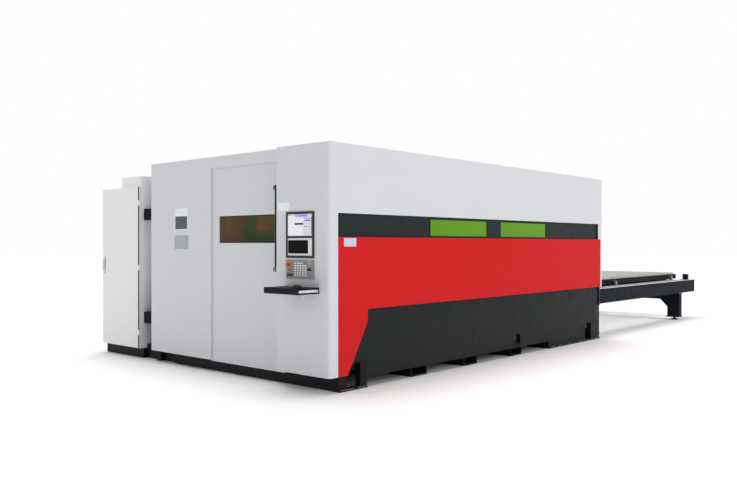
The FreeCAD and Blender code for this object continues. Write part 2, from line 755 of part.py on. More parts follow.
def build_operator_face():
    body = new_body("ConsoleCover")
    across = (near, console_side)
    up = (S.console_bottom, S.cabin_height)
    blank = pad(body, "ConsoleBlank", "YZ", [rectangle(across, up)], 0, S.console_depth)
    body.recompute(True)
    corner = upright_edge(body.Shape, 0, near.number)
    rounding = body.newObject("PartDesign::Fillet", "ConsoleCorner")
    rounding.Base = (blank, [corner])
    bind(rounding, "Radius", S.corner_radius)
    body.recompute(True)
    back = flat_face(body.Shape, "x", S.console_depth.number)
    shell = body.newObject("PartDesign::Thickness", "ConsoleShell")
    shell.Base = (rounding, [back])
    shell.Mode = 0
    shell.Join = 0
    shell.Reversed = True
    bind(shell, "Value", S.skin)
    pad(body, "ConsoleJambLug", "YZ",
        [rectangle((console_side - S.post_width, console_side - S.skin), (S.base_top, rail_bottom))],
        S.console_depth - S.skin, S.front_post_x)
    node("console_cover", body)

    left = folded_panel("LeftPanel", "YZ", (door_end, far), (S.face_bottom, S.cabin_height),
                        S.face_setback, S.face_setback + S.face_return)
    stand = (door_end + S.door_overlap + S.post_width, )
    header = folded_panel("Header", "YZ", (console_side + S.seam, door_end - S.seam),
                          (header_bottom, S.cabin_height),
                          S.face_setback, S.face_setback + S.face_return)
    for body_of, name, span in (
        (left, "Left", (far_post_inner, far_post)),
        (left, "LeftTop", (door_end + S.post_width, far_post_inner - S.post_width)),
        (header, "HeaderTop", (console_side + S.post_width, door_end - S.post_width)),
    ):
        rise = (rail_bottom + S.track_flange_height + S.seam, frame_top)
        pad(body_of, name + "Bracket", "YZ", [rectangle(span, rise)],
            S.face_setback + S.skin, S.front_post_x)
    node("front_fixed_panels", group("FrontFixedPanels", [left, header]))


def upright_edge(shape, x, y):
    """Name of the upright edge that stands at a point."""
    for index, edge in enumerate(shape.Edges, start=1):
        ends = [vertex.Point for vertex in edge.Vertexes]
        if len(ends) == 2 and all(abs(p.x - x) < 0.01 and abs(p.y - y) < 0.01 for p in ends):
            return f"Edge{index}"
    raise ValueError("no upright edge there")


def flat_face(shape, axis, level):
    """Name of the flat face that lies at a level along an axis."""
    for index, face in enumerate(shape.Faces, start=1):
        low = getattr(face.BoundBox, axis.upper() + "Min")
        high = getattr(face.BoundBox, axis.upper() + "Max")
        if abs(low - level) < 0.01 and abs(high - level) < 0.01:
            return f"Face{index}"
    raise ValueError("no flat face there")


# ---------------------------------------------------------------------------------------------
# Sliding door with its window, handle, glides and track
# ---------------------------------------------------------------------------------------------

door_face = S.face_setback + S.door_setback
door_back = door_face + S.door_depth
door_near = console_side + S.seam
door_far = door_end + S.door_overlap
door_top = header_bottom - S.door_headroom
track_bottom = door_top + (S.hanger_height - S.track_head_height) / 2
head_front = door_face + S.hanger_wall + S.glide_gap + 7


def build_door():
    window = (door_near + S.door_window_inset, door_near + S.door_window_inset + S.door_window_width)
    window_up = (S.door_window_sill, S.door_window_sill + S.door_window_height)
    leaf = folded_panel("DoorLeaf", "YZ", (door_near, door_far), (S.door_bottom, door_top),
                        door_face, door_back)
    pocket(leaf, "DoorWindowHole", "YZ", [rectangle(window, window_up)], door_face, door_face + S.skin)
    node("door_leaf", leaf)

    pane_front = door_face + S.skin
    lapped = (window[0] - S.pane_lap, window[1] + S.pane_lap)
    lapped_up = (window_up[0] - S.pane_lap, window_up[1] + S.pane_lap)
    node("door_window", block("DoorWindow", (pane_front, pane_front + S.pane_thick), lapped, lapped_up))

    axis_x = door_face - S.handle_reach
    axis_y = door_near + S.handle_inset
    top = S.handle_bottom + S.handle_length
    half = S.handle_width / 2
    tube = rod("HandleTube", "z", (axis_x, axis_y, S.handle_bottom + S.handle_end),
               S.handle_radius, S.handle_length - S.handle_end * 2)
    ends = []
    for name, level, tip in (
        ("Lower", S.handle_bottom, 0),
        ("Upper", top - S.handle_end, S.handle_end / 3),
    ):
        body = new_body(name + "HandleEnd")
        front = axis_x - half
        low, high = level, level + S.handle_end
        profile = [
            (front, low), (door_face, low), (door_face, high),
            (front + tip, high), (front, high - tip),
        ]
        if name == "Lower":
            profile = rectangle((front, door_face), (low, high))
        pad(body, name + "HandleBlock", "XZ", [profile], axis_y - half, axis_y + half)
        ends.append(body)
    node("door_handle", group("DoorHandle", [tube] + ends))

    head_back = head_front + S.track_head
    head_top = track_bottom + S.track_head_height
    web_low = track_bottom + (S.track_head_height - S.track_web) / 2
    web_high = web_low + S.track_web
    gap = S.glide_gap
    front = head_front - gap - S.hanger_wall
    profile = [
        (front, door_top), (door_back, door_top),
        (door_back, web_low - gap), (head_back + gap, web_low - gap),
        (head_back + gap, track_bottom - gap), (head_front - gap, track_bottom - gap),
        (head_front - gap, head_top + gap), (head_back + gap, head_top + gap),
        (head_back + gap, web_high + gap), (door_back, web_high + gap),
        (door_back, door_top + S.hanger_height), (front, door_top + S.hanger_height),
    ]
    glides = []
    for name, start in (
        ("Closing", door_near + S.handle_inset),
        ("Trailing", door_far - S.handle_inset - S.hanger_width),
    ):
        body = new_body(name + "Glide")
        pad(body, name + "GlideBlock", "XZ", [profile], start, start + S.hanger_width)
        glides.append(body)
    node("door_glides", group("DoorGlides", glides))

    flange_low = rail_bottom
    flange_high = flange_low + S.track_flange_height
    flange_front = S.front_post_x - S.track_flange
    section = [
        (head_front, track_bottom), (head_back, track_bottom), (head_back, web_low),
        (flange_front, web_low), (flange_front, flange_low), (S.front_post_x, flange_low),
        (S.front_post_x, flange_high), (flange_front, flange_high), (flange_front, web_high),
        (head_back, web_high), (head_back, head_top), (head_front, head_top),
    ]
    track = new_body("DoorTrack")
    pad(track, "DoorTrackSection", "XZ", [section], console_side + S.skin, far_post - S.post_depth)
    strip = block("DoorStrip", (door_back + S.glide_gap, S.base_front_x),
                  (door_near, S.front_beam_end_y), (S.face_bottom, S.base_top - S.panel_return / 2))
    node("door_tracks", group("DoorTracks", [track, strip]))


# ---------------------------------------------------------------------------------------------
# Long near side: white upper cover, window band, red covers
# ---------------------------------------------------------------------------------------------


def stiffeners(body, name, starts, up, face, wall=None):
    """Upright stiffeners from the skin's inner side to the posts, welded to the cover."""
    wall = wall or S.skin
    for index, start in enumerate(starts):
        span = (start, length(start) + S.stiffener_width)
        levels = (face + wall, near_post) if length(face).number < 0 else (far_post, face - wall)
        pad(body, f"{name}{index}", "XZ", [rectangle(span, up)], *levels)


def build_near_side():
    edge = near + S.panel_return
    upper_up = (S.band_top + S.seam, S.cabin_height)
    upper = folded_panel("NearUpper", "XZ", (S.wrap + S.seam, S.cabin_length), upper_up, near, edge)
    stiffeners(upper, "NearUpperRib", [x + S.stiffener_width / 4 for x in post_rows],
               shrink(upper_up, S.skin), near)
    node("near_upper_cover", upper)

    band_face = near + S.band_recess
    band = folded_panel("NearBand", "XZ", (S.wrap + S.seam, S.band_end), (S.band_bottom, S.band_top),
                        band_face, near_post)
    holes = []
    panes = []
    for index in range(2):
        start = S.side_window_first_x + S.side_window_pitch * index
        span = (start, start + S.side_window_length)
        up = (S.side_window_sill, S.side_window_sill + S.side_window_height)
        holes.append(rectangle(span, up))
        lap = S.pane_lap
        panes.append(block(f"SidePane{index}", (span[0] - lap, span[1] + lap),
                           (band_face + S.skin, band_face + S.skin + S.pane_thick),
                           (up[0] - lap, up[1] + lap)))
    pocket(band, "NearBandWindows", "XZ", holes, band_face, band_face + S.skin)
    node("near_window_band", band)
    node("near_windows", group("NearWindows", panes))

    red_top = S.band_bottom - S.seam
    red_up = (S.red_bottom, red_top)
    leg_top = (S.wrap + S.seam, S.red_seam_first_x)
    leg = [
        (leg_top[0], red_top), (leg_top[0], S.console_bottom), (S.leg_foot_x, S.console_bottom),
        (S.leg_width_x, S.leg_knee), (S.leg_width_x, S.red_bottom), (leg_top[1], S.red_bottom),
        (leg_top[1], red_top),
    ]
    wall = S.skin
    slope = (S.leg_width_x - S.leg_foot_x) / (S.leg_knee - S.console_bottom)
    inner_leg = [
        (leg_top[0] + wall, red_top - wall), (leg_top[0] + wall, S.console_bottom + wall),
        (S.leg_foot_x - wall + slope * wall - wall * 0.15, S.console_bottom + wall),
        (S.leg_width_x - wall, S.leg_knee + wall * 0.7),
        (S.leg_width_x - wall, S.red_bottom + wall), (leg_top[1] - wall, S.red_bottom + wall),
        (leg_top[1] - wall, red_top - wall),
    ]
    front = new_body("RedFront")
    pad(front, "RedFrontBlank", "XZ", [leg], near, edge)
    pocket(front, "RedFrontHollow", "XZ", [inner_leg], near + wall, edge)
    stiffeners(front, "RedFrontRib", [post_rows[0] + S.stiffener_width / 4],
               (S.corner_foot_height + S.seam, red_top - wall), near)
    middle = folded_panel("RedMiddle", "XZ",
                          (S.red_seam_first_x + S.seam, S.red_seam_second_x - S.seam),
                          red_up, near, edge)
    stiffeners(middle, "RedMiddleRib", [post_rows[2] + S.stiffener_width / 4],
               shrink(red_up, wall), near)
    rear = folded_panel("RedRear", "XZ", (S.red_seam_second_x + S.seam, S.red_end),
                        red_up, near, edge)
    stiffeners(rear, "RedRearRib", [post_rows[3] + S.stiffener_width / 4],
               shrink(red_up, wall), near)
    node("red_front_cover", front)
    node("red_middle_cover", middle)
    node("red_rear_cover", rear)


def build_skirts():
    face = near + S.skirt_recess
    inner = face + S.skirt_return
    gap = S.seam
    top = S.red_bottom - gap
    foot_top = S.corner_foot_height + gap
    foot_end = S.corner_foot_x + S.corner_foot_length + gap
    slope = (S.leg_width_x - S.leg_foot_x) / (S.leg_knee - S.console_bottom)
    start = S.leg_foot_x + slope * (foot_top - S.console_bottom) + gap * 2
    rear_foot = S.rear_foot_x - gap

    def outline(inset):
        low = S.skirt_bottom + inset
        return [
            (start + inset * 1.5, foot_top + inset), (foot_end + inset, foot_top + inset),
            (foot_end + inset, low), (rear_foot - inset, low),
            (rear_foot - inset, foot_top + inset), (S.skirt_end - inset, foot_top + inset),
            (S.skirt_end - inset, top - inset), (S.leg_width_x + gap + inset, top - inset),
            (S.leg_width_x + gap + inset, S.leg_knee - gap - inset * 0.3),
        ]

    near_skirt = new_body("NearSkirt")
    pad(near_skirt, "NearSkirtBlank", "XZ", [outline(length(0))], face, inner)
    pocket(near_skirt, "NearSkirtHollow", "XZ", [outline(S.skin)], face + S.skin, inner)
    hole = rectangle((S.skirt_hole_x, S.skirt_hole_x + S.skirt_hole_length),
                     (S.skirt_hole_bottom, S.skirt_hole_bottom + S.skirt_hole_height))
    pocket(near_skirt, "NearSkirtPocket", "XZ", [hole], face, face + S.skin)

    far_face = far - S.skirt_recess
    far_skirt = new_body("FarSkirt")
    far_start = S.face_setback + S.face_return + gap

    def far_outline(inset):
        low = S.skirt_bottom + inset
        return [
            (far_start + inset, foot_top + inset), (foot_end + inset, foot_top + inset),
            (foot_end + inset, low), (rear_foot - inset, low),
            (rear_foot - inset, foot_top + inset), (rear_post_end - inset, foot_top + inset),
            (rear_post_end - inset, top - inset), (far_start + inset, top - inset),
        ]

    pad(far_skirt, "FarSkirtBlank", "XZ", [far_outline(length(0))], far_post, far_face)
    pocket(far_skirt, "FarSkirtHollow", "XZ", [far_outline(S.skin)], far_post, far_face - S.skin)
    rear_face = rear_post_end
    sill = folded_panel("RearSill", "YZ",
                        (near_post_inner, bed_far_outer + S.entry_margin - gap),
                        (S.base_top, S.table_beam_bottom - S.panel_return),
                        rear_face + S.skirt_return, rear_face)
    node("lower_skirts", group("LowerSkirts", [near_skirt, far_skirt, sill]))


def build_far_side():
    edge = far - S.panel_return
    covers = []
    bounds = [S.face_setback + S.face_return + S.seam, S.post_second_x, S.post_third_x,
              S.post_fourth_x, S.cabin_length]
    for index in range(4):
        start = bounds[index] if index == 0 else bounds[index] + S.post_width / 2
        end = bounds[index + 1] if index == 3 else bounds[index + 1] + S.post_width / 2 - S.seam
        cover = folded_panel(f"FarCover{index}", "XZ", (start, end), (S.red_bottom, S.cabin_height),
                             far, edge)
        ribs = [start + S.post_width] if index == 0 else []
        if index < 3:
            ribs.append(post_rows[index + 1] - S.stiffener_width / 4)
        else:
            ribs.append(post_rows[4] + S.stiffener_width / 4)
        if index == 0:
            ribs[0] = post_rows[0] + S.stiffener_width / 4
        stiffeners(cover, f"FarCover{index}Rib", ribs,
                   shrink((S.red_bottom, S.cabin_height), S.skin), far)
        covers.append(cover)
    node("far_side_covers", group("FarSideCovers", covers))


# ---------------------------------------------------------------------------------------------
# Rear: covers round the pallet entry, raised shutter, extraction spigot
# ---------------------------------------------------------------------------------------------


def build_rear():
    face = S.cabin_length
    inner = rear_post_end
    gap = S.seam
    near_edge = near + S.panel_return
    far_edge = far - S.panel_return
    entry_near = near_post_inner
    entry_far = bed_far_outer + S.entry_margin
    corner = new_body("RearCorner")
    outline = [
        (S.band_end + gap, S.band_bottom + gap), (S.red_end + gap, S.band_bottom + gap),
        (S.red_end + gap, S.red_bottom), (face, S.red_bottom), (face, S.band_top),
        (S.band_end + gap, S.band_top),
    ]
    pad(corner, "RearCornerPlate", "XZ", [outline], near, near + S.skin)
    pad(corner, "RearCornerReturn", "XZ", [rectangle((face - S.skin, face), (S.red_bottom, S.band_top))],
        near + S.skin, near_edge)
    pad(corner, "RearCornerRib", "XZ",
        [rectangle((rear_post_end - S.stiffener_width / 2, rear_post_end), shrink((S.band_bottom, S.band_top), S.corner_rib_margin))],
        near + S.skin, near_post)
    covers = [corner]
    top = S.cabin_height
    covers.append(folded_panel("RearNear", "YZ", (near_edge + gap, entry_near),
                               (S.table_beam_bottom, top), face, inner))
    covers.append(folded_panel("RearHeader", "YZ", (entry_near + gap, entry_far - gap),
                               (S.entry_top, top), face, inner))
    rear_far = folded_panel("RearFar", "YZ", (entry_far, far_edge - gap), (S.base_top, top), face, inner)
    round_pocket(rear_far, "SpigotHole", "YZ", [(S.spigot_y, S.spigot_height, S.spigot_radius - S.skin)],
                 face - S.skin, face)
    covers.append(rear_far)
    node("rear_covers", group("RearCovers", covers))

    shutter_x = rear_post_x - S.shutter_thick - gap
    span = (near_post_inner + S.post_depth / 2, entry_far - S.post_depth / 2)
    raised = (S.entry_top, S.entry_top + S.shutter_height)
    panel = folded_panel("ShutterPanel", "YZ", span, raised, shutter_x + S.shutter_thick, shutter_x)
    guides = []
    for side, start in (("Near", near_post_inner), ("Far", entry_far - S.post_depth / 2 + S.glide_gap)):
        width = S.post_depth / 2 - S.glide_gap
        guides.append(block(side + "ShutterGuide", (shutter_x, rear_post_x + S.post_width / 2),
                            (start, start + width), (S.bed_beam_top + S.guide_height, rail_bottom)))
    node("entry_shutter", group("EntryShutter", [panel] + guides))

    outer = rod("SpigotOuter", "x", (face, S.spigot_y, S.spigot_height), S.spigot_radius, S.spigot_length)
    inner_wall = prism("SpigotBore", "x", (face, S.spigot_y, S.spigot_height),
                       S.spigot_radius - S.skin, S.spigot_length, 32)
    node("extraction_spigot", cut("ExtractionSpigot", outer, [inner_wall]))


# ---------------------------------------------------------------------------------------------
# Bed, gantry, cross carriage and cutting head
# ---------------------------------------------------------------------------------------------

upper_ledge_top = S.upper_rail_top - S.rail_height
lower_ledge_top = S.lower_rail_top - S.rail_height
ledge_thick = S.rail_height
ledge_reach = S.pallet_width / 2 + S.ledge_gap


def build_bed():
    members = []
    for side, outer, inner in (("Near", bed_near_outer, bed_near), ("Far", bed_far_outer, bed_far)):
        low, high = (outer, inner) if side == "Near" else (inner, outer)
        body = new_body(side + "BedBeam")
        pad(body, side + "BedBlank", "XZ",
            [rectangle((S.bed_front_x, S.bed_rear_x), (S.base_top, S.bed_beam_top))], low, high)
        members.append(body)
    ledge = (S.rail_front_x, S.cabin_length + S.table_gap)
    for side, sign in (("Near", -1), ("Far", 1)):
        beam_face = bed_near if side == "Near" else bed_far
        for level_name, top in (("Upper", upper_ledge_top), ("Lower", lower_ledge_top)):
            inner = S.bed_axis_y + ledge_reach * sign
            low, high = (beam_face, inner) if side == "Near" else (inner, beam_face)
            members.append(block(f"{side}{level_name}Ledge", ledge, (low, high),
                                 (top - ledge_thick, top)))
    for index in range(5):
        start = S.bed_front_x + index * (S.bed_rear_x - S.bed_front_x - S.bed_cross_width) / 4
        members.append(block(f"BedCross{index}", (start, start + S.bed_cross_width),
                             (bed_near, bed_far), (S.base_top, S.base_top + S.bed_cross_height)))
    node("bed_frame", group("BedFrame", members))


guide_near = (bed_near_outer + bed_near - S.guide_width) / 2
guide_far = (bed_far_outer + bed_far - S.guide_width) / 2
guide_top = S.bed_beam_top + S.guide_height
gantry_face = S.gantry_park_x + S.gantry_depth


def build_gantry():
    body = new_body("GantryBeam")
    top = S.gantry_bottom + S.gantry_height
    section = [
        (S.gantry_park_x, S.gantry_bottom), (gantry_face, S.gantry_bottom),
        (gantry_face, top), (S.gantry_park_x + S.gantry_depth / 2, top),
        (S.gantry_park_x, top - S.gantry_height / 2),
    ]
    pad(body, "GantrySection", "XZ", [section], bed_near_outer, bed_far_outer)
    trucks = []
    truck = (S.gantry_park_x - (S.truck_length - S.gantry_depth) / 2,
             gantry_face + (S.truck_length - S.gantry_depth) / 2)
    for low, high in ((bed_near_outer, bed_near - S.glide_gap), (bed_far + S.glide_gap, bed_far_outer)):
        trucks.append(rectangle(truck, (low, high)))
    pad(body, "GantryTrucks", "XY", trucks, guide_top + S.glide_gap, S.gantry_bottom)
    windows = []
    bay = (bed_far - bed_near) / 6
    for index in range(6):
        start = bed_near + bay * index + bay / 4
        windows.append(rectangle((start, start + bay / 2),
                                 (S.gantry_bottom + S.gantry_height / 4,
                                  top - S.gantry_height / 3)))
    pocket(body, "GantryWindows", "YZ", windows, S.gantry_park_x, S.gantry_park_x + S.gantry_depth / 2)
    node("gantry_beam", body)

    rails = []
    margin = S.cross_guide_margin
    for name, level in (("Lower", S.gantry_bottom + margin), ("Upper", top - margin - S.guide_width)):
        rails.append(block(name + "CrossGuide", (gantry_face, gantry_face + S.cross_guide_depth),
                           (bed_near_outer + S.cross_guide_inset, bed_far_outer - S.cross_guide_inset),
                           (level, level + S.guide_width)))
    node("cross_guides", group("CrossGuides", rails))

    centre = S.bed_axis_y
    face = gantry_face + S.cross_guide_depth + S.glide_gap
    carriage = new_body("CrossCarriage")
    half = S.carriage_width / 2
    low = S.gantry_bottom + S.glide_gap
    outline = [
        (centre - half, low), (centre + half, low),
        (centre + half, low + S.carriage_height * 0.7),
        (centre + half * 0.6, low + S.carriage_height),
        (centre - half * 0.6, low + S.carriage_height),
        (centre - half, low + S.carriage_height * 0.7),
    ]
    pad(carriage, "CarriagePlate", "YZ", [outline], face, face + S.carriage_depth)
    node("cross_carriage", carriage)

    head_x = face + S.carriage_depth + S.glide_gap
    head = new_body("CuttingHead")
    side = S.head_width / 2
    chamfer = S.head_width / 6
    plan = [
        (head_x, centre - side), (head_x + S.head_depth - chamfer, centre - side),
        (head_x + S.head_depth, centre - side + chamfer), (head_x + S.head_depth, centre + side - chamfer),
        (head_x + S.head_depth - chamfer, centre + side), (head_x, centre + side),
    ]
    pad(head, "HeadHousing", "XY", [plan], S.head_bottom, S.head_bottom + S.head_height)
    node("cutting_head", head)
    nozzle_x = head_x + S.head_depth / 2
    nozzle_low = S.head_bottom - S.nozzle_length
    tip = prism("NozzleTip", "z", (nozzle_x, centre, nozzle_low), S.nozzle_tip_radius,
                S.nozzle_length / 2, 12)
    holder = prism("NozzleHolder", "z", (nozzle_x, centre, nozzle_low + S.nozzle_length / 2),
                   S.nozzle_radius, S.nozzle_length / 2, 16)
    node("nozzle", fuse("Nozzle", [tip, holder]))


# ---------------------------------------------------------------------------------------------
# Pallet rails and table
# ---------------------------------------------------------------------------------------------

table_start = S.cabin_length + S.table_gap
table_inner = S.pallet_width / 2 + S.table_beam_offset
table_outer = table_inner + S.table_beam_width


def sided(sign, inner, outer):
    """A span across the machine, mirrored about the pallets' centre line."""
    if sign < 0:
        return (S.bed_axis_y - outer, S.bed_axis_y - inner)
    return (S.bed_axis_y + inner, S.bed_axis_y + outer)


def build_table():
    rails = []
    for side, sign in (("Near", -1), ("Far", 1)):
        for part, span in (
            ("Cabin", (S.rail_front_x, table_start - S.rail_joint)),
            ("Table", (table_start, S.rail_end_x)),
        ):
            upper = sided(sign, table_inner, table_inner + S.rail_width)
            lower = sided(sign, table_inner - S.rail_width, table_inner)
            rails.append(block(f"{side}Upper{part}Rail", span, upper,
                               (upper_ledge_top, S.upper_rail_top)))
            rails.append(block(f"{side}Lower{part}Rail", span, lower,
                               (lower_ledge_top, S.lower_rail_top)))
    for side, start in (("Near", guide_near), ("Far", guide_far)):
        rails.append(block(side + "GantryGuide",
                           (S.bed_front_x + S.guide_front_margin, S.bed_rear_x - S.guide_rear_margin),
                           (start, start + S.guide_width), (S.bed_beam_top, guide_top)))
    node("steel_rails", group("SteelRails", rails))

    members = []
    for side, sign in (("Near", -1), ("Far", 1)):
        body = new_body(side + "TableBeam")
        low, high = sided(sign, table_inner, table_outer)
        pad(body, side + "TableBox", "YZ",
            [rectangle((low, high), (S.table_beam_bottom, upper_ledge_top))],
            table_start, S.table_end)
        members.append(body)
        ledge = sided(sign, table_inner - S.rail_width, table_inner)
        members.append(block(side + "TableLedge", (table_start, S.rail_end_x), ledge,
                             (S.table_beam_bottom, lower_ledge_top)))
        stop = sided(sign, table_inner, table_inner + S.stop_length)
        members.append(block(side + "EndStop", (S.rail_end_x, S.rail_end_x + S.stop_length), stop,
                             (upper_ledge_top, upper_ledge_top + S.stop_height)))
    members.append(block("TableEndBeam", (S.table_end - S.end_beam_width, S.table_end),
                         (S.bed_axis_y - table_inner, S.bed_axis_y + table_inner),
                         (lower_ledge_top, upper_ledge_top - S.rail_height)))
    for name, start in (("Front", S.trestle_first_x), ("Rear", S.trestle_second_x)):
        members.append(trestle(name, start))
    node("table_frame", group("TableFrame", members))

    feet = []
    for name, start in (("Front", S.trestle_first_x), ("Rear", S.trestle_second_x)):
        for side, sign in (("Near", -1), ("Far", 1)):
            centre_y = S.bed_axis_y + (table_outer - S.trestle_leg_y / 2) * sign
            centre_x = start + S.trestle_leg_x / 2
            disc = prism(f"{name}{side}Disc", "z", (centre_x, centre_y, 0),
                         S.levelling_radius, S.levelling_disc, 16)
            screw = prism(f"{name}{side}Screw", "z", (centre_x, centre_y, S.levelling_disc),
                          S.levelling_screw, S.levelling_height - S.levelling_disc, 12)
            feet.append(fuse(f"{name}{side}Levelling", [disc, screw]))
    node("levelling_feet", group("LevellingFeet", feet))


def trestle(name, start):
    """A welded portal under the table: two legs, a cross member, gussets and flange plates."""
    body = new_body(name + "Trestle")
    axis = S.bed_axis_y
    outer = table_outer
    inner = table_outer - S.trestle_leg_y
    foot = S.levelling_height + S.flange_thick
    top = S.table_beam_bottom - S.flange_thick
    under = top - S.trestle_cross_height
    knee = under - S.gusset_rise
    outline = [
        (axis - outer, foot), (axis - inner, foot), (axis - inner, knee),
        (axis - inner + S.gusset_rise, under), (axis + inner - S.gusset_rise, under),
        (axis + inner, knee), (axis + inner, foot), (axis + outer, foot),
        (axis + outer, top), (axis - outer, top),
    ]
    pad(body, name + "Portal", "YZ", [outline], start, start + S.trestle_leg_x)
    margin = S.flange_margin
    plates = []
    for sign in (-1, 1):
        low, high = sided(sign, inner, outer)
        plates.append(rectangle((start - margin, start + S.trestle_leg_x + margin),
                                (low - margin * (1 + sign) / 2 , high + margin * (1 - sign) / 2)))
    pad(body, name + "FootPlates", "XY", plates, S.levelling_height, foot)
    pad(body, name + "TopPlates", "XY", plates, top, S.table_beam_bottom)
    return body


# ---------------------------------------------------------------------------------------------
# Pallets: welded frame, serrated slats, wheels on stub axles
# ---------------------------------------------------------------------------------------------


def build_pallets():
    build_pallet("Upper", "upper", S.pallet_front_x, S.upper_rail_top, table_inner + S.wheel_side_gap)
    build_pallet("Lower", "lower", S.pallet_front_x - S.pallet_travel, S.lower_rail_top,
                 table_inner - S.rail_width + S.wheel_side_gap)


def repeat_slats(body, name, feature):
    """Repeat one slat, or one slot for it, along the pallet."""
    steps = f"floor({((S.pallet_length - S.slat_first * 2) / S.slat_pitch).formula})"
    row = body.newObject("PartDesign::LinearPattern", name)
    row.Originals = [feature]
    along = [axis for axis in body.Origin.OriginFeatures if axis.Role == "X_Axis"][0]
    row.Direction = (along, [""])
    row.setExpression("Length", f"{steps} * {S.slat_pitch.formula}")
    row.setExpression("Occurrences", f"{steps} + 1")
    body.Tip = row
    return row


def build_pallet(name, label, front, rail_top, wheel_start):
    half = S.pallet_width / 2
    bottom = rail_top + S.pallet_lift
    top = bottom + S.pallet_tube_height
    axis = S.bed_axis_y
    rear = front + S.pallet_length
    tube = S.pallet_tube_width
    bar_top = bottom + S.pallet_bar_height
    axle_z = rail_top + S.wheel_radius + S.wheel_gap
    axle_x = (front + S.wheel_inset, rear - S.wheel_inset)

    frame = new_body(name + "PalletFrame")
    border = [rectangle((front, rear), (axis - half, axis + half)),
            rectangle((front + tube, rear - tube), (axis - half + tube, axis + half - tube))]
    pad(frame, name + "PalletBorder", "XY", border, bottom, top)
    bars = [rectangle((front + tube, rear - tube), (axis - tube / 2, axis + tube / 2))]
    pad(frame, name + "PalletSpine", "XY", bars, bottom, bar_top)
    bay = (S.pallet_length - tube * 2) / 5
    crossings = []
    for index in range(1, 5):
        start = front + tube + bay * index - S.pallet_bar_width / 2
        crossings.append(rectangle((start, start + S.pallet_bar_width),
                                   (axis - half + tube, axis + half - tube)))
    pad(frame, name + "PalletBars", "XY", crossings, bottom, bar_top)
    gap = S.slat_slot_gap
    start = front + S.slat_first - S.slat_thick / 2
    first_slot = rectangle((start - gap, start + S.slat_thick + gap),
                           (axis - half + S.slat_end_wall, axis + half - S.slat_end_wall))
    slot = pocket(frame, name + "SlatSlot", "XY", [first_slot], top - S.slat_seat, top)
    repeat_slats(frame, name + "SlatSlots", slot)
    stub = wheel_start + S.wheel_width - half
    for end, x in zip(("Front", "Rear"), axle_x):
        for sign in (-1, 1):
            low, high = sided(sign, half, half + stub)
            pad(frame, f"{name}{end}Axle{sign + 1}", "XZ", [ring(x, axle_z, S.axle_radius, 16)],
                low, high)
    node(label + "_pallet_frame", frame)

    slat_bottom = top - S.slat_seat + gap
    profile = slat_outline(axis - half + S.slat_end_wall + gap, axis + half - S.slat_end_wall - gap,
                           slat_bottom, slat_bottom + S.slat_height)
    slats = new_body(name + "Slats")
    plate = pad(slats, name + "SlatPlate", "YZ", [profile], start, start + S.slat_thick)
    repeat_slats(slats, name + "SlatRow", plate)
    node(label + "_pallet_slats", slats)

    for end, x in zip(("front", "rear"), axle_x):
        wheels = []
        for side, sign in (("Near", -1), ("Far", 1)):
            low, high = sided(sign, wheel_start, wheel_start + S.wheel_width)
            tread = prism(f"{name}{end}{side}Tread", "y", (x, low, axle_z), S.wheel_radius,
                          S.wheel_width)
            bore = rod(f"{name}{end}{side}Bore", "y", (x, low, axle_z),
                       S.axle_radius + S.wheel_bore_gap, S.wheel_width)
            wheels.append(cut(f"{name}{end}{side}Wheel", tread, [bore]))
        node(f"{label}_pallet_{end}_wheels", group(f"{name}{end}Wheels", wheels))


def slat_outline(start, end, bottom, top):
    """Side view of a slat: straight lower edge, a row of pointed teeth on top."""
    count = int((end.number - start.number) / S.tooth_pitch.number)
    margin = (end - start - S.tooth_pitch * count) / 2
    valley = top - S.tooth_depth
    points = [(start, bottom), (end, bottom), (end, valley)]
    for index in range(count, 0, -1):
        right = start + margin + S.tooth_pitch * index
        points.append((right, valley))
        points.append((right - S.tooth_pitch / 2, top))
    points.append((start + margin, valley))
    points.append((start, valley))
    return points


# ---------------------------------------------------------------------------------------------
# Controls on the console
# ---------------------------------------------------------------------------------------------

controls_near = near + S.controls_inset
panel_face = -S.operator_panel_depth


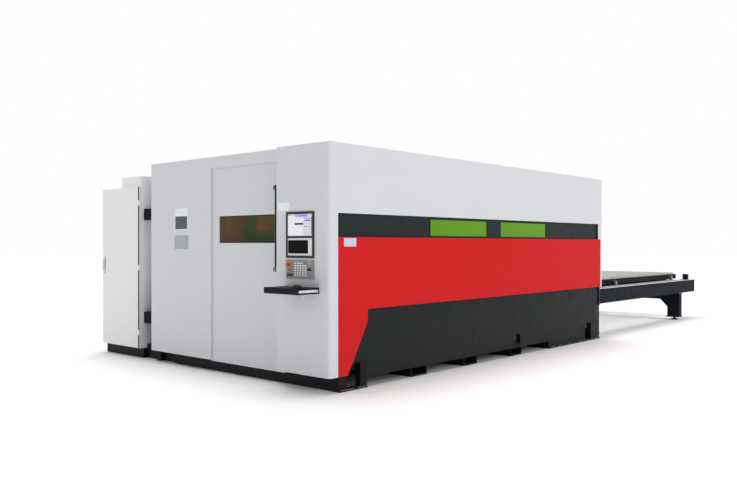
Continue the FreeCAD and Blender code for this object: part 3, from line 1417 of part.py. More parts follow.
def build_controls():
    width = S.screen_frame_width
    across = (controls_near, controls_near + width)
    up = (S.screen_frame_bottom, S.screen_frame_bottom + S.screen_frame_height)
    inside = shrink(across, S.bezel_border)
    screen_up = (up[1] - S.bezel_border - S.screen_height, up[1] - S.bezel_border)
    lower_up = (up[0] + S.bezel_border, up[0] + S.bezel_border + S.lower_window_height)
    bezel = new_body("ScreenFrame")
    pad(bezel, "ScreenFrameBlank", "YZ", [rectangle(across, up)], -S.bezel_depth, 0)
    pocket(bezel, "ScreenFrameWindows", "YZ", [rectangle(inside, screen_up), rectangle(inside, lower_up)],
           -S.bezel_depth, 0)
    node("screen_frame", bezel)
    gap = S.seam
    node("screen", block("Screen", (-S.screen_depth, 0), shrink(inside, gap), shrink(screen_up, gap)))
    node("keypad_panel", block("KeypadPanel", (-S.screen_depth, 0), shrink(inside, gap),
                               shrink(lower_up, gap)))
    pad_far = across[1] - S.bezel_border - S.pad_inset
    pad_low = lower_up[0] + (S.lower_window_height - S.pad_height) / 2
    entry = new_body("EntryPad")
    pad(entry, "EntryPadBlank", "YZ",
        [rectangle((pad_far - S.pad_width, pad_far), (pad_low, pad_low + S.pad_height))],
        -S.screen_depth - S.pad_depth, -S.screen_depth)
    node("entry_pad", entry)

    panel_up = (S.operator_panel_bottom, S.operator_panel_bottom + S.operator_panel_height)
    panel = new_body("OperatorPanel")
    pad(panel, "OperatorPanelBlank", "YZ", [rectangle(across, panel_up)], panel_face, 0)
    pad(panel, "StopCollar", "YZ", [ring(stop_at[0], stop_at[1], S.stop_collar_radius)],
        panel_face - S.stop_collar_depth, panel_face)
    pocket(panel, "StopBore", "YZ",
           [ring(stop_at[0], stop_at[1], around(S.stop_stem_radius + S.button_gap, 24))],
           panel_face - S.stop_collar_depth, 0)
    pocket(panel, "ButtonBores", "YZ",
           [ring(y, z, around(S.button_radius + S.button_gap, 24)) for name, y, z in button_places],
           panel_face, 0)
    node("operator_panel", panel)

    keys = []
    for row in range(6):
        for column in range(5):
            start = across[0] + S.keys_inset + S.key_pitch_across * column
            level = panel_up[0] + S.keys_rise + S.key_pitch_up * row
            keys.append(block(f"Key{row}{column}", (panel_face - S.key_depth, panel_face),
                              (start, start + S.key_width), (level, level + S.key_height)))
    node("panel_keys", group("PanelKeys", keys))

    head_start = panel_face + S.button_sunk - S.stop_stem_length - S.stop_head_length
    stem = prism("StopStem", "x", (head_start + S.stop_head_length, stop_at[0], stop_at[1]),
                 S.stop_stem_radius, S.stop_stem_length)
    head = prism("StopHead", "x", (head_start, stop_at[0], stop_at[1]),
                 S.stop_head_radius, S.stop_head_length, 32)
    node("emergency_stop", fuse("EmergencyStop", [stem, head]))
    for label, y, z in button_places:
        start = panel_face + S.button_sunk - S.button_length
        node(label, prism(label.title().replace("_", ""), "x", (start, y, z),
                          S.button_radius, S.button_length))
    for label, y, z in knob_places:
        start = panel_face - S.glide_gap - S.knob_length
        title = label.title().replace("_", "")
        base = prism(title + "Base", "x", (start + S.knob_length / 2, y, z), S.knob_radius,
                     S.knob_length / 2)
        grip = block(title + "Grip", (start, start + S.knob_length / 2),
                     (y - S.knob_grip / 2, y + S.knob_grip / 2),
                     (z - S.knob_radius * 0.95, z + S.knob_radius * 0.95))
        node(label, fuse(title, [base, grip]))

    tray_near = near + S.tray_inset
    tray = new_body("KeyboardTray")
    outer = ((-S.tray_reach), length(0))
    rise = (S.tray_bottom, S.tray_bottom + S.tray_height)
    pad(tray, "TraySleeve", "XZ", [rectangle(outer, rise),
                                   rectangle(shrink(outer, S.tray_wall), shrink(rise, S.tray_wall))],
        tray_near, tray_near + S.tray_length)
    node("keyboard_tray", tray)
    mouse_start = S.mouse_reach - S.tray_reach
    mouse_x = (mouse_start, mouse_start + S.mouse_width)
    mouse_y = (tray_near + S.mouse_inset, tray_near + S.mouse_inset + S.mouse_length)
    body = new_body("Mouse")
    low = rise[1]
    hump = [
        (mouse_x[0], low), (mouse_x[1], low), (mouse_x[1], low + S.mouse_height * 0.55),
        (mouse_x[1] - S.mouse_width * 0.2, low + S.mouse_height),
        (mouse_x[0] + S.mouse_width * 0.35, low + S.mouse_height),
        (mouse_x[0], low + S.mouse_height * 0.4),
    ]
    pad(body, "MouseHump", "XZ", [hump], mouse_y[0], mouse_y[1])
    node("mouse", body)


panel_low = S.operator_panel_bottom
stop_at = (controls_near + S.stop_across, panel_low + S.stop_up)
button_places = [
    ("start_button", controls_near + S.start_across, panel_low + S.start_up),
    ("halt_button", controls_near + S.halt_across, panel_low + S.halt_up),
]
knob_places = [
    ("left_selector", controls_near + S.left_selector_across, panel_low + S.selector_up),
    ("right_selector", controls_near + S.right_selector_across, panel_low + S.selector_up),
    ("override_knob", controls_near + S.override_across, panel_low + S.override_up),
]


# ---------------------------------------------------------------------------------------------
# Electric cabinet beside the cabin
# ---------------------------------------------------------------------------------------------


def build_cabinet():
    start_y = far + S.cabinet_gap
    end_y = start_y + S.cabinet_width
    across = (start_y, end_y)
    up = (S.cabinet_bottom, S.cabinet_top)
    front = S.cabinet_front_x
    rear = front + S.cabinet_depth
    shell = new_body("CabinetBox")
    pad(shell, "CabinetBlank", "YZ", [rectangle(across, up)], front, rear)
    pocket(shell, "CabinetHollow", "YZ", [rectangle(shrink(across, S.skin), shrink(up, S.skin))],
           front, rear - S.skin)

    door_back_x = front - S.cabinet_door_gap
    door_front = door_back_x - S.cabinet_door_thick
    lever_y = end_y - S.lever_inset
    door = folded_panel("CabinetDoorLeaf", "YZ", shrink(across, S.cabinet_door_gap),
                        shrink(up, S.cabinet_door_gap), door_front, door_back_x)
    hole = ring(lever_y, S.lever_axis, around(S.lever_spindle + S.pin_clearance, 16), 16)
    pocket(door, "LeverHole", "YZ", [hole], door_front, door_front + S.skin)

    hinge_x = door_front - S.hinge_offset
    hinge_y = start_y - S.hinge_offset
    shell_parts = [shell]
    door_parts = [door]
    bores = []
    for index in range(3):
        low = S.cabinet_bottom + S.hinge_margin + index * (
            S.cabinet_top - S.cabinet_bottom - S.hinge_margin * 2 - S.hinge_height * 2) / 2
        middle = low + S.hinge_height
        shell_parts.append(block(f"HingeArm{index}", (hinge_x - S.hinge_barrel, front + S.hinge_arm),
                                 (hinge_y - S.hinge_barrel, start_y), (low, middle)))
        shell_parts.append(rod(f"HingePin{index}", "z", (hinge_x, hinge_y, middle),
                               S.hinge_pin, S.hinge_height))
        lug_low = middle + S.glide_gap
        door_parts.append(block(f"HingeLug{index}", (hinge_x - S.hinge_barrel, door_front),
                                (hinge_y - S.hinge_barrel, start_y + S.hinge_arm),
                                (lug_low, middle + S.hinge_height)))
        bores.append(prism(f"HingeBore{index}", "z", (hinge_x, hinge_y, lug_low),
                           around(S.hinge_pin + S.pin_clearance, 12), S.hinge_height, 12))
    node("cabinet_shell", fuse("CabinetShell", shell_parts))
    node("cabinet_door", cut("CabinetDoor", fuse("CabinetDoorWithLugs", door_parts), bores))
    half = S.lever_width / 2
    boss = prism("LeverBoss", "x", (door_front - S.glide_gap - S.lever_thick, lever_y, S.lever_axis),
                 half, S.lever_thick)
    arm = block("LeverArm", (door_front - S.glide_gap - S.lever_thick,
                             door_front - S.glide_gap - S.lever_thick / 2),
                (lever_y - half, lever_y + half), (S.lever_axis - S.lever_length, S.lever_axis))
    stem = rod("LeverSpindle", "x", (door_front - S.glide_gap, lever_y, S.lever_axis),
               S.lever_spindle, S.cabinet_door_thick / 2)
    node("cabinet_lever", fuse("CabinetLever", [boss, arm, stem]))

    plinth = block("Plinth", (front + S.plinth_setback, rear - S.plinth_setback), across,
                   (0, S.cabinet_bottom))
    bridge_x = S.base_front_x + S.far_beam_setback
    bridge = block("PlinthBridge", (bridge_x, bridge_x + S.base_beam),
                   (far - S.skirt_recess + S.sole_proud, start_y), (0, S.base_top))
    node("cabinet_plinth", group("CabinetPlinth", [plinth, bridge]))
    node("cabinet_roof_unit", block("CabinetRoofUnit", (front, front + S.roof_unit_length),
                                    (start_y, start_y + S.roof_unit_width),
                                    (S.cabinet_top, S.cabinet_top + S.roof_unit_height)))
    ducts = []
    for name, wall_y, level in (
        ("Lower", far - S.skirt_recess, S.duct_low),
        ("Upper", far, S.duct_high),
    ):
        ducts.append(block(name + "CableDuct", (S.duct_x, S.duct_x + S.duct_width),
                           (wall_y, start_y), (level, level + S.duct_height)))
    node("cable_ducts", group("CableDucts", ducts))

    floor = S.cabinet_bottom + S.skin
    source_y = (start_y + end_y - S.source_width) / 2
    source_x = front + S.source_inset
    source = block("LaserSource", (source_x, source_x + S.source_length),
                   (source_y, source_y + S.source_width), (floor, floor + S.source_height))
    rack_low = floor + S.source_height
    plate_x = rear - S.skin - S.rack_plate_thick
    plate = block("MountingPlate", (plate_x, plate_x + S.rack_plate_thick),
                  shrink(across, S.rack_plate_margin),
                  (rack_low + S.rack_plate_foot, S.cabinet_top - S.rack_plate_head))
    devices = [plate]
    for row in range(3):
        level = rack_low + S.drive_foot + S.drive_pitch * row
        devices.append(block(f"Drives{row}", (plate_x - S.drive_depth, plate_x),
                             shrink(across, S.drive_margin), (level, level + S.drive_height)))
    node("cabinet_equipment", group("CabinetEquipment", [source, fuse("DriveRack", devices)]))


# ---------------------------------------------------------------------------------------------
# Build, check and write
# ---------------------------------------------------------------------------------------------

build_base()
build_frame()
build_operator_face()
build_door()
build_near_side()
build_skirts()
build_far_side()
build_rear()
build_bed()
build_gantry()
build_table()
build_pallets()
build_controls()
build_cabinet()
doc.recompute()

for thing in doc.Objects:
    if "Invalid" in thing.State or "Error" in thing.State:
        raise RuntimeError(f"{thing.Name} ({thing.Label}) failed: {thing.State}")
for thing in doc.Objects:
    if thing.TypeId == "PartDesign::Pocket":
        before = thing.BaseFeature.Shape.Volume
        if before - thing.Shape.Volume < 1:
            raise RuntimeError(f"{thing.Name} takes nothing away")
labels = [thing.Label for thing in nodes]
if len(set(labels)) != len(labels) or len(labels) > 60:
    raise RuntimeError("sub-part names must differ, and be 60 at most")
for thing in nodes:
    if thing.Shape.isNull() or not thing.Shape.isValid() or thing.Shape.Volume <= 0:
        raise RuntimeError(f"{thing.Label} has no valid solid")

os.makedirs("parts", exist_ok=True)
to_datum = FreeCAD.Vector(-S.datum_x.number, 0, 0)
for thing in nodes:
    solids = thing.Shape.copy()
    solids.translate(to_datum)
    solids.exportStep(f"parts/{thing.Label}.step")
print(len(nodes), "sub-parts written")
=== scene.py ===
import math

import bmesh
import bpy
from bpy.props import FloatProperty, FloatVectorProperty, IntProperty, PointerProperty
from bpy.types import NodeSocket, Operator, Panel, PropertyGroup
from mathutils import Matrix, Vector


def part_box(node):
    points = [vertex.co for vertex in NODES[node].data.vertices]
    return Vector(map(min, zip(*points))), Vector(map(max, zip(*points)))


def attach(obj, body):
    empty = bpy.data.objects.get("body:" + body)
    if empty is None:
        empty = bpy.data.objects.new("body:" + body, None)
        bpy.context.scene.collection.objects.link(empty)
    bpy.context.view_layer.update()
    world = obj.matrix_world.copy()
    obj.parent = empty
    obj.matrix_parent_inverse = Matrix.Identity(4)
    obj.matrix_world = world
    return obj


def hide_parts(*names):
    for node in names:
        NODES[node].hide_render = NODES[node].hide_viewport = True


bl_info = {
    "name": "Sheet Laser Cutting Machine",
    "version": (1, 0, 0),
    "blender": (4, 5, 0),
    "location": "3D View > Sidebar > Laser Cutter",
    "description": "Finishes, fittings, controls and studio for a closed-cabin laser cutter",
    "category": "Object",
}

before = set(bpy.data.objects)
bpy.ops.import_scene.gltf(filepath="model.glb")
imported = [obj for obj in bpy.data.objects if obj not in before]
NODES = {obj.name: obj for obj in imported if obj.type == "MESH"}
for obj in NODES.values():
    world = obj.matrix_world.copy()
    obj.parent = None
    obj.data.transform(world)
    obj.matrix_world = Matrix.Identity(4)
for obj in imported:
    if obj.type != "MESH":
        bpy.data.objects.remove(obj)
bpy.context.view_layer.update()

# Lengths are in metres. Places along X count from the console's operator face.
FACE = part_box("console_cover")[0].x

# Rectangles on the operator face, as (Y, Z) corners, and the middle of one round lamp.
UPPER_PLATE = (0.766, 1.491), (1.006, 1.734)
UPPER_PLATE_FIELD = (0.776, 1.501), (0.996, 1.642)
LOWER_PLATE = (0.759, 1.282), (1.011, 1.432)
CONSOLE_PLATE = (-0.956, 1.645), (-0.803, 1.725)
SIGNAL_LAMP = (-1.250, 1.1625), (-1.208, 1.1805)
READY_LAMP = (-1.0200, 1.1690)
FACE_PLATE_DEPTH = 0.0022

# The bare plate in the red front cover, along X and Z.
SIDE_PLATE = (FACE + 0.187, FACE + 0.350), (1.316, 1.393)

# Membrane keys: the size of one, and of the corner that holds those in the accent colour.
KEY_SIZE = (0.022, 0.0145)
ACCENT_CORNER = (0.0425, 0.0187)

# Keyboard tray: its sheets, the Y of its front hook and the X of its side hook.
TRAY_SKIN, TRAY_LIP = 0.0140, 0.0030
FRONT_HOOK, SIDE_HOOK = -1.250, FACE - 0.183

# Electric cabinet: inside of its near wall, its door's opening, lever and vents.
NEAR_WALL = 1.735
OPENING_FOOT, OPENING_TOP = 0.121, 2.004
CABINET_LEAF = 0.023
LEVER_FOOT, LEVER_TOP = 0.985, 1.180
VENT_CORNERS = (1.90, 0.36), (1.90, 1.62)
VENT_SIZE = 0.25
BLADE_TURN = Matrix.Rotation(math.radians(-18), 3, "Y")

# Table: its middle plane, its feet and its flanges.
TABLE_AXIS = -0.375
FOOT_REACH, FOOT_PLATE_TOP, FOOT_PLATE_WIDTH = 0.060, 0.060, 0.210
# Heights of the pale flange-edge strips, which are painted highlights.
FLANGE_LEVELS = (0.047, 0.058), (0.457, 0.468)
FLANGE_HALF = 0.079
# The pallet rail between beam and wheels, with the strip's own bedding.
RAIL_THICKNESS = 0.0155

# Pale strips on the edges of the base's bottom plates, painted as highlights.
SOLE_SPANS = (0.160, 0.515), (4.060, 5.462)
SOLE_LEVELS = 0.0139, 0.0158


# Settings

def colour(title, words, value):
    return FloatVectorProperty(name=title, description=words, subtype="COLOR", size=3,
                               min=0.0, max=1.0, default=value)


def span(title, words, value, low=0.0):
    return FloatProperty(name=title, description=words, subtype="DISTANCE", unit="LENGTH",
                         min=low, precision=4, default=value)


def strength(title, words, value):
    return FloatProperty(name=title, description=words, min=0.0, default=value)


def count(title, words, value, low=1):
    return IntProperty(name=title, description=words, min=low, default=value)


class CoatColours(PropertyGroup):
    white: colour("White", "Powder coat of the cabin", (0.70, 0.71, 0.745))
    # The cabinet's white is the cabin's white painted brighter: painted light on the cabinet.
    cabinet: colour("Cabinet white", "Powder coat of the electric cabinet", (0.885, 0.89, 0.90))
    red: colour("Red", "Powder coat of the side covers", (0.64, 0.018, 0.020))
    charcoal: colour("Charcoal", "Coat of the window band", (0.0135, 0.0185, 0.0195))
    skirt: colour("Skirt", "Coat of the lower skirts", (0.0115, 0.0145, 0.0150))
    black: colour("Black", "Coat of the base and the keyboard tray", (0.0045, 0.0050, 0.0055))
    navy: colour("Dark blue", "Coat of the table and the pallets", (0.0085, 0.0110, 0.0165))
    grey: colour("Grey", "Coat of frames and housings", (0.24, 0.25, 0.26))
    green: colour("Green", "Laser-safe side windows", (0.118, 0.335, 0.009))
    slat: colour("Slat", "Flame-worn steel of the pallet slats", (0.93, 0.91, 0.85))


class SlatSizes(PropertyGroup):
    pitch: span("Pitch", "From one slat to the next", 0.075, 0.03)
    tooth: span("Tooth", "From one point of a slat to the next", 0.0726, 0.02)
    depth: span("Tooth depth", "Height of a slat's points", 0.026, 0.005)
    thick: span("Thickness", "Sheet of a slat", 0.0045, 0.001)


class FastenerSizes(PropertyGroup):
    screw: span("Screw radius", "Dome-head screw of a cover", 0.0065)
    pitch: span("Screw pitch", "Screws along a cover's edge", 0.31)
    bolt: span("Bolt radius", "Hexagon bolt of a flange, over its corners", 0.0125)


class ControlSizes(PropertyGroup):
    key_radius: span("Key corner", "Rounded corner of a membrane key", 0.003)
    columns: count("Columns", "Membrane keys across", 5)
    rows: count("Rows", "Membrane keys up", 6)
    sides: count("Sides", "Facets round a button", 48, 12)


class StageSizes(PropertyGroup):
    floor: span("Floor", "Half the width of the floor", 150.0)
    ambient: strength("Ambient", "Strength of the surrounding light", 0.28)
    top_light: strength("Top light", "Wide soft lamp overhead", 2.42)
    side_light: strength("Side light", "Lamp on the long side", 0.98)
    face_light: strength("Face light", "Lamp on the operator face", 0.25)
    back_light: strength("Back light", "Lamp on the far side", 0.20)


def settings(group):
    return getattr(bpy.context.scene, group)


# Finishes

class Finish:
    """One node material: patterns on Object coordinates that feed a Principled shader."""

    def __init__(self, name, rough, metallic=0.0, specular=0.5, coat=0.0, coat_rough=0.1):
        self.material = bpy.data.materials.new(name)
        self.material.use_nodes = True
        self.tree = self.material.node_tree
        self.tree.nodes.clear()
        self.shader = self.add("ShaderNodeBsdfPrincipled", {
            "Roughness": rough, "Metallic": metallic, "Specular IOR Level": specular,
            "Coat Weight": coat, "Coat Roughness": coat_rough,
        })
        self.add("ShaderNodeOutputMaterial", {"Surface": self.shader.outputs["BSDF"]})
        self.place = self.add("ShaderNodeTexCoord", {}).outputs["Object"]

    def add(self, kind, inputs):
        """Adds a node and fills its inputs, given by name or number."""
        node = self.tree.nodes.new(kind)
        for name, value in inputs.items():
            self.put(node, name, value)
        return node

    def put(self, node, name, value):
        """Joins an output to an input, or sets the input to a plain value."""
        if isinstance(value, NodeSocket):
            self.tree.links.new(value, node.inputs[name])
        else:
            node.inputs[name].default_value = value

    def noise(self, scale, detail=2.0, stretch=(1, 1, 1), rough=0.5):
        where = self.place
        if stretch != (1, 1, 1):
            where = self.add("ShaderNodeMapping", {
                "Vector": where, "Scale": stretch}).outputs["Vector"]
        return self.add("ShaderNodeTexNoise", {
            "Vector": where, "Scale": scale, "Detail": detail, "Roughness": rough,
        }).outputs["Fac"]

    def between(self, value, low, high, to_low=0.0, to_high=1.0):
        return self.add("ShaderNodeMapRange", {
            "Value": value, "From Min": low, "From Max": high, "To Min": to_low,
            "To Max": to_high,
        }).outputs["Result"]

    def along(self, axis, low, high):
        """0 at one place along an axis, 1 at the other."""
        split = self.add("ShaderNodeSeparateXYZ", {"Vector": self.place})
        return self.between(split.outputs["XYZ".index(axis)], low, high)

    def inside(self, *spans):
        """1 inside a block given as (axis, low, high) spans, else 0."""
        soft = 0.0004
        share = 1.0
        for axis, low, high in spans:
            both = self.maths("MULTIPLY", self.along(axis, low, low + soft),
                              self.along(axis, high, high - soft))
            share = self.maths("MULTIPLY", share, both)
        return share

    def maths(self, kind, a, b):
        node = self.add("ShaderNodeMath", {0: a, 1: b})
        node.operation = kind
        node.use_clamp = True
        return node.outputs[0]

    def blend(self, share, first, second):
        """Mixes two colours, each an output or a plain tint."""
        node = self.tree.nodes.new("ShaderNodeMix")
        node.data_type = "RGBA"
        for index, value in ((0, share), (6, first), (7, second)):
            self.put(node, index, (*value, 1.0) if isinstance(value, tuple) else value)
        return node.outputs[2]

    def ramp(self, share, stops):
        node = self.add("ShaderNodeValToRGB", {"Fac": share})
        elements = node.color_ramp.elements
        while len(elements) < len(stops):
            elements.new(1.0)
        for element, (place, value) in zip(elements, stops):
            element.position = place
            element.color = (*value, 1.0)
        return node.outputs["Color"]

    def colour(self, value):
        self.put(self.shader, "Base Color", value)

    def relief(self, height, depth, strength):
        bump = self.add("ShaderNodeBump", {
            "Height": height, "Distance": depth, "Strength": strength})
        self.put(self.shader, "Normal", bump.outputs["Normal"])

    def roughness(self, value, low, high):
        self.put(self.shader, "Roughness", self.between(value, 0.25, 0.75, low, high))


def shade(value, factor):
    return tuple(min(channel * factor, 1.0) for channel in value)


def powder_coat(name, tint, rough=0.42, peel=0.00025, tone=0.04, dust=0.0, scuff_and_highlight=0.0, gloss=0.30,
                plate=(), low_tint=None, low_top=0.0):
    """Powder coat: fine orange peel, a slow drift of tone, dust low down, light scuffs that on the
    flange edges are a painted highlight, a bare plate and, below a given height, a second colour."""
    coat = Finish(name, rough, specular=gloss)
    drift = coat.noise(0.55)
    base = coat.blend(drift, shade(tint, 1 - tone), shade(tint, 1 + tone))
    mottle = coat.noise(38.0, 3.0)
    base = coat.blend(coat.between(mottle, 0.35, 0.7, 0.0, 0.25), base, shade(tint, 0.93))
    if low_tint is not None:
        low_coat = coat.blend(drift, shade(low_tint, 0.92), shade(low_tint, 1.08))
        base = coat.blend(coat.along("Z", low_top + 0.001, low_top), base, low_coat)
    if dust:
        low = coat.along("Z", 0.55, 0.0)
        cloud = coat.noise(7.0, 5.0, rough=0.65)
        share = coat.maths("MULTIPLY", coat.maths("MULTIPLY", low, cloud), dust)
        base = coat.blend(share, base, (0.34, 0.32, 0.29))
    # Light scuffs; on the flange edges these pale patches are a painted highlight.
    if scuff_and_highlight:
        rub = coat.noise(16.0, 6.0, (1.0, 1.0, 3.0), 0.7)
        share = coat.maths("MULTIPLY", coat.between(rub, 0.60, 0.72), scuff_and_highlight)
        base = coat.blend(share, base, (0.30, 0.30, 0.31))
    if plate:
        base = coat.blend(coat.inside(*plate), base, (0.62, 0.65, 0.74))
    coat.colour(base)
    coat.roughness(coat.noise(12.0, 3.0), rough - 0.05, rough + 0.08)
    coat.relief(coat.noise(420.0), peel, 0.55)
    return coat.material


def bright_metal(name, tint, rough, stretch=(1, 1, 1), rust=0.0):
    """Ground or drawn metal with fine lines along one direction."""
    metal = Finish(name, rough, metallic=1.0)
    lines = metal.noise(90.0, 4.0, stretch, 0.6)
    base = metal.blend(metal.between(lines, 0.3, 0.7), shade(tint, 0.86), shade(tint, 1.06))
    if rust:
        patch = metal.between(metal.noise(9.0, 6.0, rough=0.7), 0.52, 0.68, 0.0, rust)
        base = metal.blend(patch, base, (0.23, 0.13, 0.07))
    metal.colour(base)
    metal.roughness(lines, rough - 0.08, rough + 0.10)
    metal.relief(lines, 0.00008, 0.4)
    return metal.material


def moulded(name, tint, rough=0.45, grain=900.0, depth=0.00006, coat=0.0, gloss=0.2):
    """Moulded plastic with a fine eroded grain and slight wear of its tone."""
    plastic = Finish(name, rough, specular=gloss, coat=coat, coat_rough=0.12)
    plastic.colour(plastic.blend(plastic.noise(24.0, 4.0), shade(tint, 0.88), shade(tint, 1.10)))
    plastic.roughness(plastic.noise(60.0, 3.0), rough - 0.05, rough + 0.07)
    plastic.relief(plastic.noise(grain), depth, 0.5)
    return plastic.material


def side_pane(name, tint):
    """Tinted laser-safe acrylic: a slow drift of its colour and faint streaks along it."""
    pane = Finish(name, 0.22, specular=0.10)
    base = pane.blend(pane.noise(1.3, 1.0, (1, 1, 4)), shade(tint, 0.86), shade(tint, 1.12))
    streak = pane.noise(30.0, 3.0, (0.1, 1, 1))
    pane.colour(pane.blend(pane.between(streak, 0.5, 0.8, 0.0, 0.12), base, shade(tint, 1.5)))
    pane.relief(pane.noise(2.5, 1.0), 0.0006, 0.15)
    return pane.material


# Painted reflections on the door pane, from left to right: above, below and at its foot.
PANE_REFLECTIONS_ABOVE = (
    (0.00, (0.082, 0.048, 0.024)), (0.16, (0.105, 0.062, 0.020)), (0.32, (0.100, 0.042, 0.022)),
    (0.43, (0.085, 0.040, 0.020)), (0.50, (0.040, 0.046, 0.015)), (0.63, (0.036, 0.052, 0.016)),
    (0.68, (0.110, 0.058, 0.016)), (1.00, (0.098, 0.054, 0.018)),
)
PANE_REFLECTIONS_BELOW = (
    (0.00, (0.078, 0.042, 0.026)), (0.34, (0.082, 0.038, 0.024)), (0.45, (0.040, 0.036, 0.016)),
    (0.52, (0.022, 0.036, 0.012)), (0.75, (0.018, 0.042, 0.014)), (1.00, (0.022, 0.046, 0.014)),
)
PANE_REFLECTIONS_FOOT = (
    (0.00, (0.060, 0.012, 0.012)), (0.36, (0.045, 0.010, 0.010)), (0.46, (0.010, 0.010, 0.006)),
    (1.00, (0.007, 0.012, 0.006)),
)


def door_pane_painted_reflections(name):
    """Dark laser-safe pane with painted reflections: brown, olive and green patches of the chamber
    seen through it and of its surroundings, laid into its colour.
    """
    low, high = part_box("door_window")
    pane = Finish(name, 0.14, specular=0.10)
    cloud = pane.between(pane.noise(3.2), 0.3, 0.7, -0.035, 0.035)
    across = pane.maths("ADD", pane.along("Y", high.y, low.y), cloud)
    down = pane.maths("ADD", pane.along("Z", high.z, low.z), cloud)
    # The pane's colour is painted reflection, laid in fields across and down it.
    tones = pane.blend(pane.between(down, 0.48, 0.80), pane.ramp(across, PANE_REFLECTIONS_ABOVE),
                       pane.ramp(across, PANE_REFLECTIONS_BELOW))
    # A darker foot, partly red, which is painted reflection too.
    foot = pane.along("Z", low.z + 0.026, low.z + 0.014)
    pane.colour(pane.blend(foot, tones, pane.ramp(across, PANE_REFLECTIONS_FOOT)))
    pane.relief(pane.noise(2.0, 1.0), 0.0005, 0.15)
    return pane.material


def worn_slat(name, tint):
    """Slat steel after cutting: pale oxide, brown heat patches and dark spatter."""
    steel = Finish(name, 0.75, specular=0.3)
    patch = steel.noise(5.0, 6.0, rough=0.65)
    base = steel.blend(steel.between(patch, 0.35, 0.7), shade(tint, 1.05), shade(tint, 0.90))
    heat = steel.between(steel.noise(22.0, 5.0, rough=0.7), 0.58, 0.74, 0.0, 0.30)
    base = steel.blend(heat, base, (0.40, 0.32, 0.24))
    spatter = steel.between(steel.noise(120.0, 3.0), 0.64, 0.72, 0.0, 0.5)
    steel.colour(steel.blend(spatter, base, (0.06, 0.05, 0.045)))
    steel.roughness(patch, 0.60, 0.90)
    steel.relief(steel.noise(150.0, 4.0), 0.0008, 0.7)
    return steel.material


def edge_highlight_steel(name, bright, dark):
    """A sheet edge painted pale as a highlight, with patches of dark coat left on it."""
    edge = Finish(name, 0.5, specular=0.3)
    patch = edge.between(edge.noise(9.0, 4.0, rough=0.6), 0.44, 0.52)
    fine = edge.noise(160.0, 3.0)
    edge.colour(edge.blend(patch, dark, edge.blend(fine, shade(bright, 0.8), shade(bright, 1.1))))
    edge.roughness(fine, 0.40, 0.62)
    edge.relief(fine, 0.0002, 0.5)
    return edge.material


def lit_screen(name, tint):
    """A lit display: faint pixel rows and an even glow."""
    display = Finish(name, 0.30, specular=0.1)
    tone = display.blend(display.noise(700.0, 1.0, (1, 1, 0.2)), shade(tint, 0.94),
                         shade(tint, 1.04))
    display.colour(tone)
    display.put(display.shader, "Emission Color", tone)
    display.put(display.shader, "Emission Strength", 0.16)
    return display.material


def key_plastic(name, tint, accent):
    """Pale membrane keys, with those in the upper far corner in the accent colour."""
    low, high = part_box("panel_keys")
    slack = 0.001
    plastic = Finish(name, 0.5, specular=0.2)
    pale = plastic.blend(plastic.noise(40.0, 3.0), shade(tint, 0.92), shade(tint, 1.05))
    corner = plastic.inside(("Y", low.y - slack, low.y + ACCENT_CORNER[0]),
                            ("Z", high.z - ACCENT_CORNER[1], high.z + slack))
    plastic.colour(plastic.blend(corner, pale, accent))
    plastic.relief(plastic.noise(1100.0), 0.00005, 0.5)
    return plastic.material


def handle_coat(name, tint):
    """Coat of the door's pull bar, with a pale lower bracket and a grey upper one."""
    low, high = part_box("door_handle")
    coat = Finish(name, 0.38, specular=0.2)
    bar = coat.blend(coat.noise(30.0, 3.0), shade(tint, 0.88), shade(tint, 1.12))
    lower = coat.along("Z", low.z + 0.047, low.z + 0.045)
    bar = coat.blend(lower, bar, (0.17, 0.175, 0.185))
    upper = coat.along("Z", high.z - 0.047, high.z - 0.045)
    coat.colour(coat.blend(upper, bar, (0.038, 0.039, 0.044)))
    coat.roughness(coat.noise(12.0, 3.0), 0.33, 0.46)
    coat.relief(coat.noise(420.0), 0.0002, 0.5)
    return coat.material


FINISHES = {}

NODE_FINISHES = {
    "white": """console_cover front_fixed_panels door_leaf near_upper_cover far_side_covers
        roof_covers""",
    "rear_white": "rear_covers",
    "frame_coat": "cabin_frame",
    "cabinet_white_painted_light": "cabinet_shell cabinet_door cabinet_roof_unit",
    "red": "red_front_cover red_middle_cover red_rear_cover",
    "charcoal": "near_window_band",
    "skirt": "lower_skirts",
    "black": "base_frame cabinet_plinth keyboard_tray",
    "frame_grey": "screen_frame",
    "duct_black": "cable_ducts",
    "navy": "table_frame upper_pallet_frame lower_pallet_frame",
    "grey": "entry_shutter extraction_spigot cutting_head cabinet_equipment",
    "panel_grey": "operator_panel",
    "bed_grey": "bed_frame",
    "enamel": "gantry_beam",
    "green_pane": "near_windows",
    "door_pane_painted_reflections": "door_window",
    "rail_steel": "steel_rails cross_guides door_tracks",
    "foot_steel": "levelling_feet",
    "slat_steel": "upper_pallet_slats lower_pallet_slats",
    "wheel": """upper_pallet_front_wheels upper_pallet_rear_wheels lower_pallet_front_wheels
        lower_pallet_rear_wheels""",
    "glide": "door_glides",
    "handle": "door_handle",
    "black_plastic": "entry_pad mouse left_selector right_selector override_knob",
    "lever_grey": "cabinet_lever",
    "pale_panel": "keypad_panel",
    "keys": "panel_keys",
    "screen_ground": "screen",
    "red_plastic": "emergency_stop halt_button",
    "green_plastic": "start_button",
    "cast": "cross_carriage",
    "brass": "nozzle",
}

SCREEN_TINTS = {
    "ground": (0.74, 0.75, 0.84), "page": (0.87, 0.85, 0.95), "band": (0.53, 0.46, 0.84),
    "buttons": (0.26, 0.21, 0.58), "bar": (0.022, 0.022, 0.30), "field": (0.84, 0.90, 0.76),
    "table": (0.70, 0.71, 0.72), "edge": (0.27, 0.28, 0.29),
}


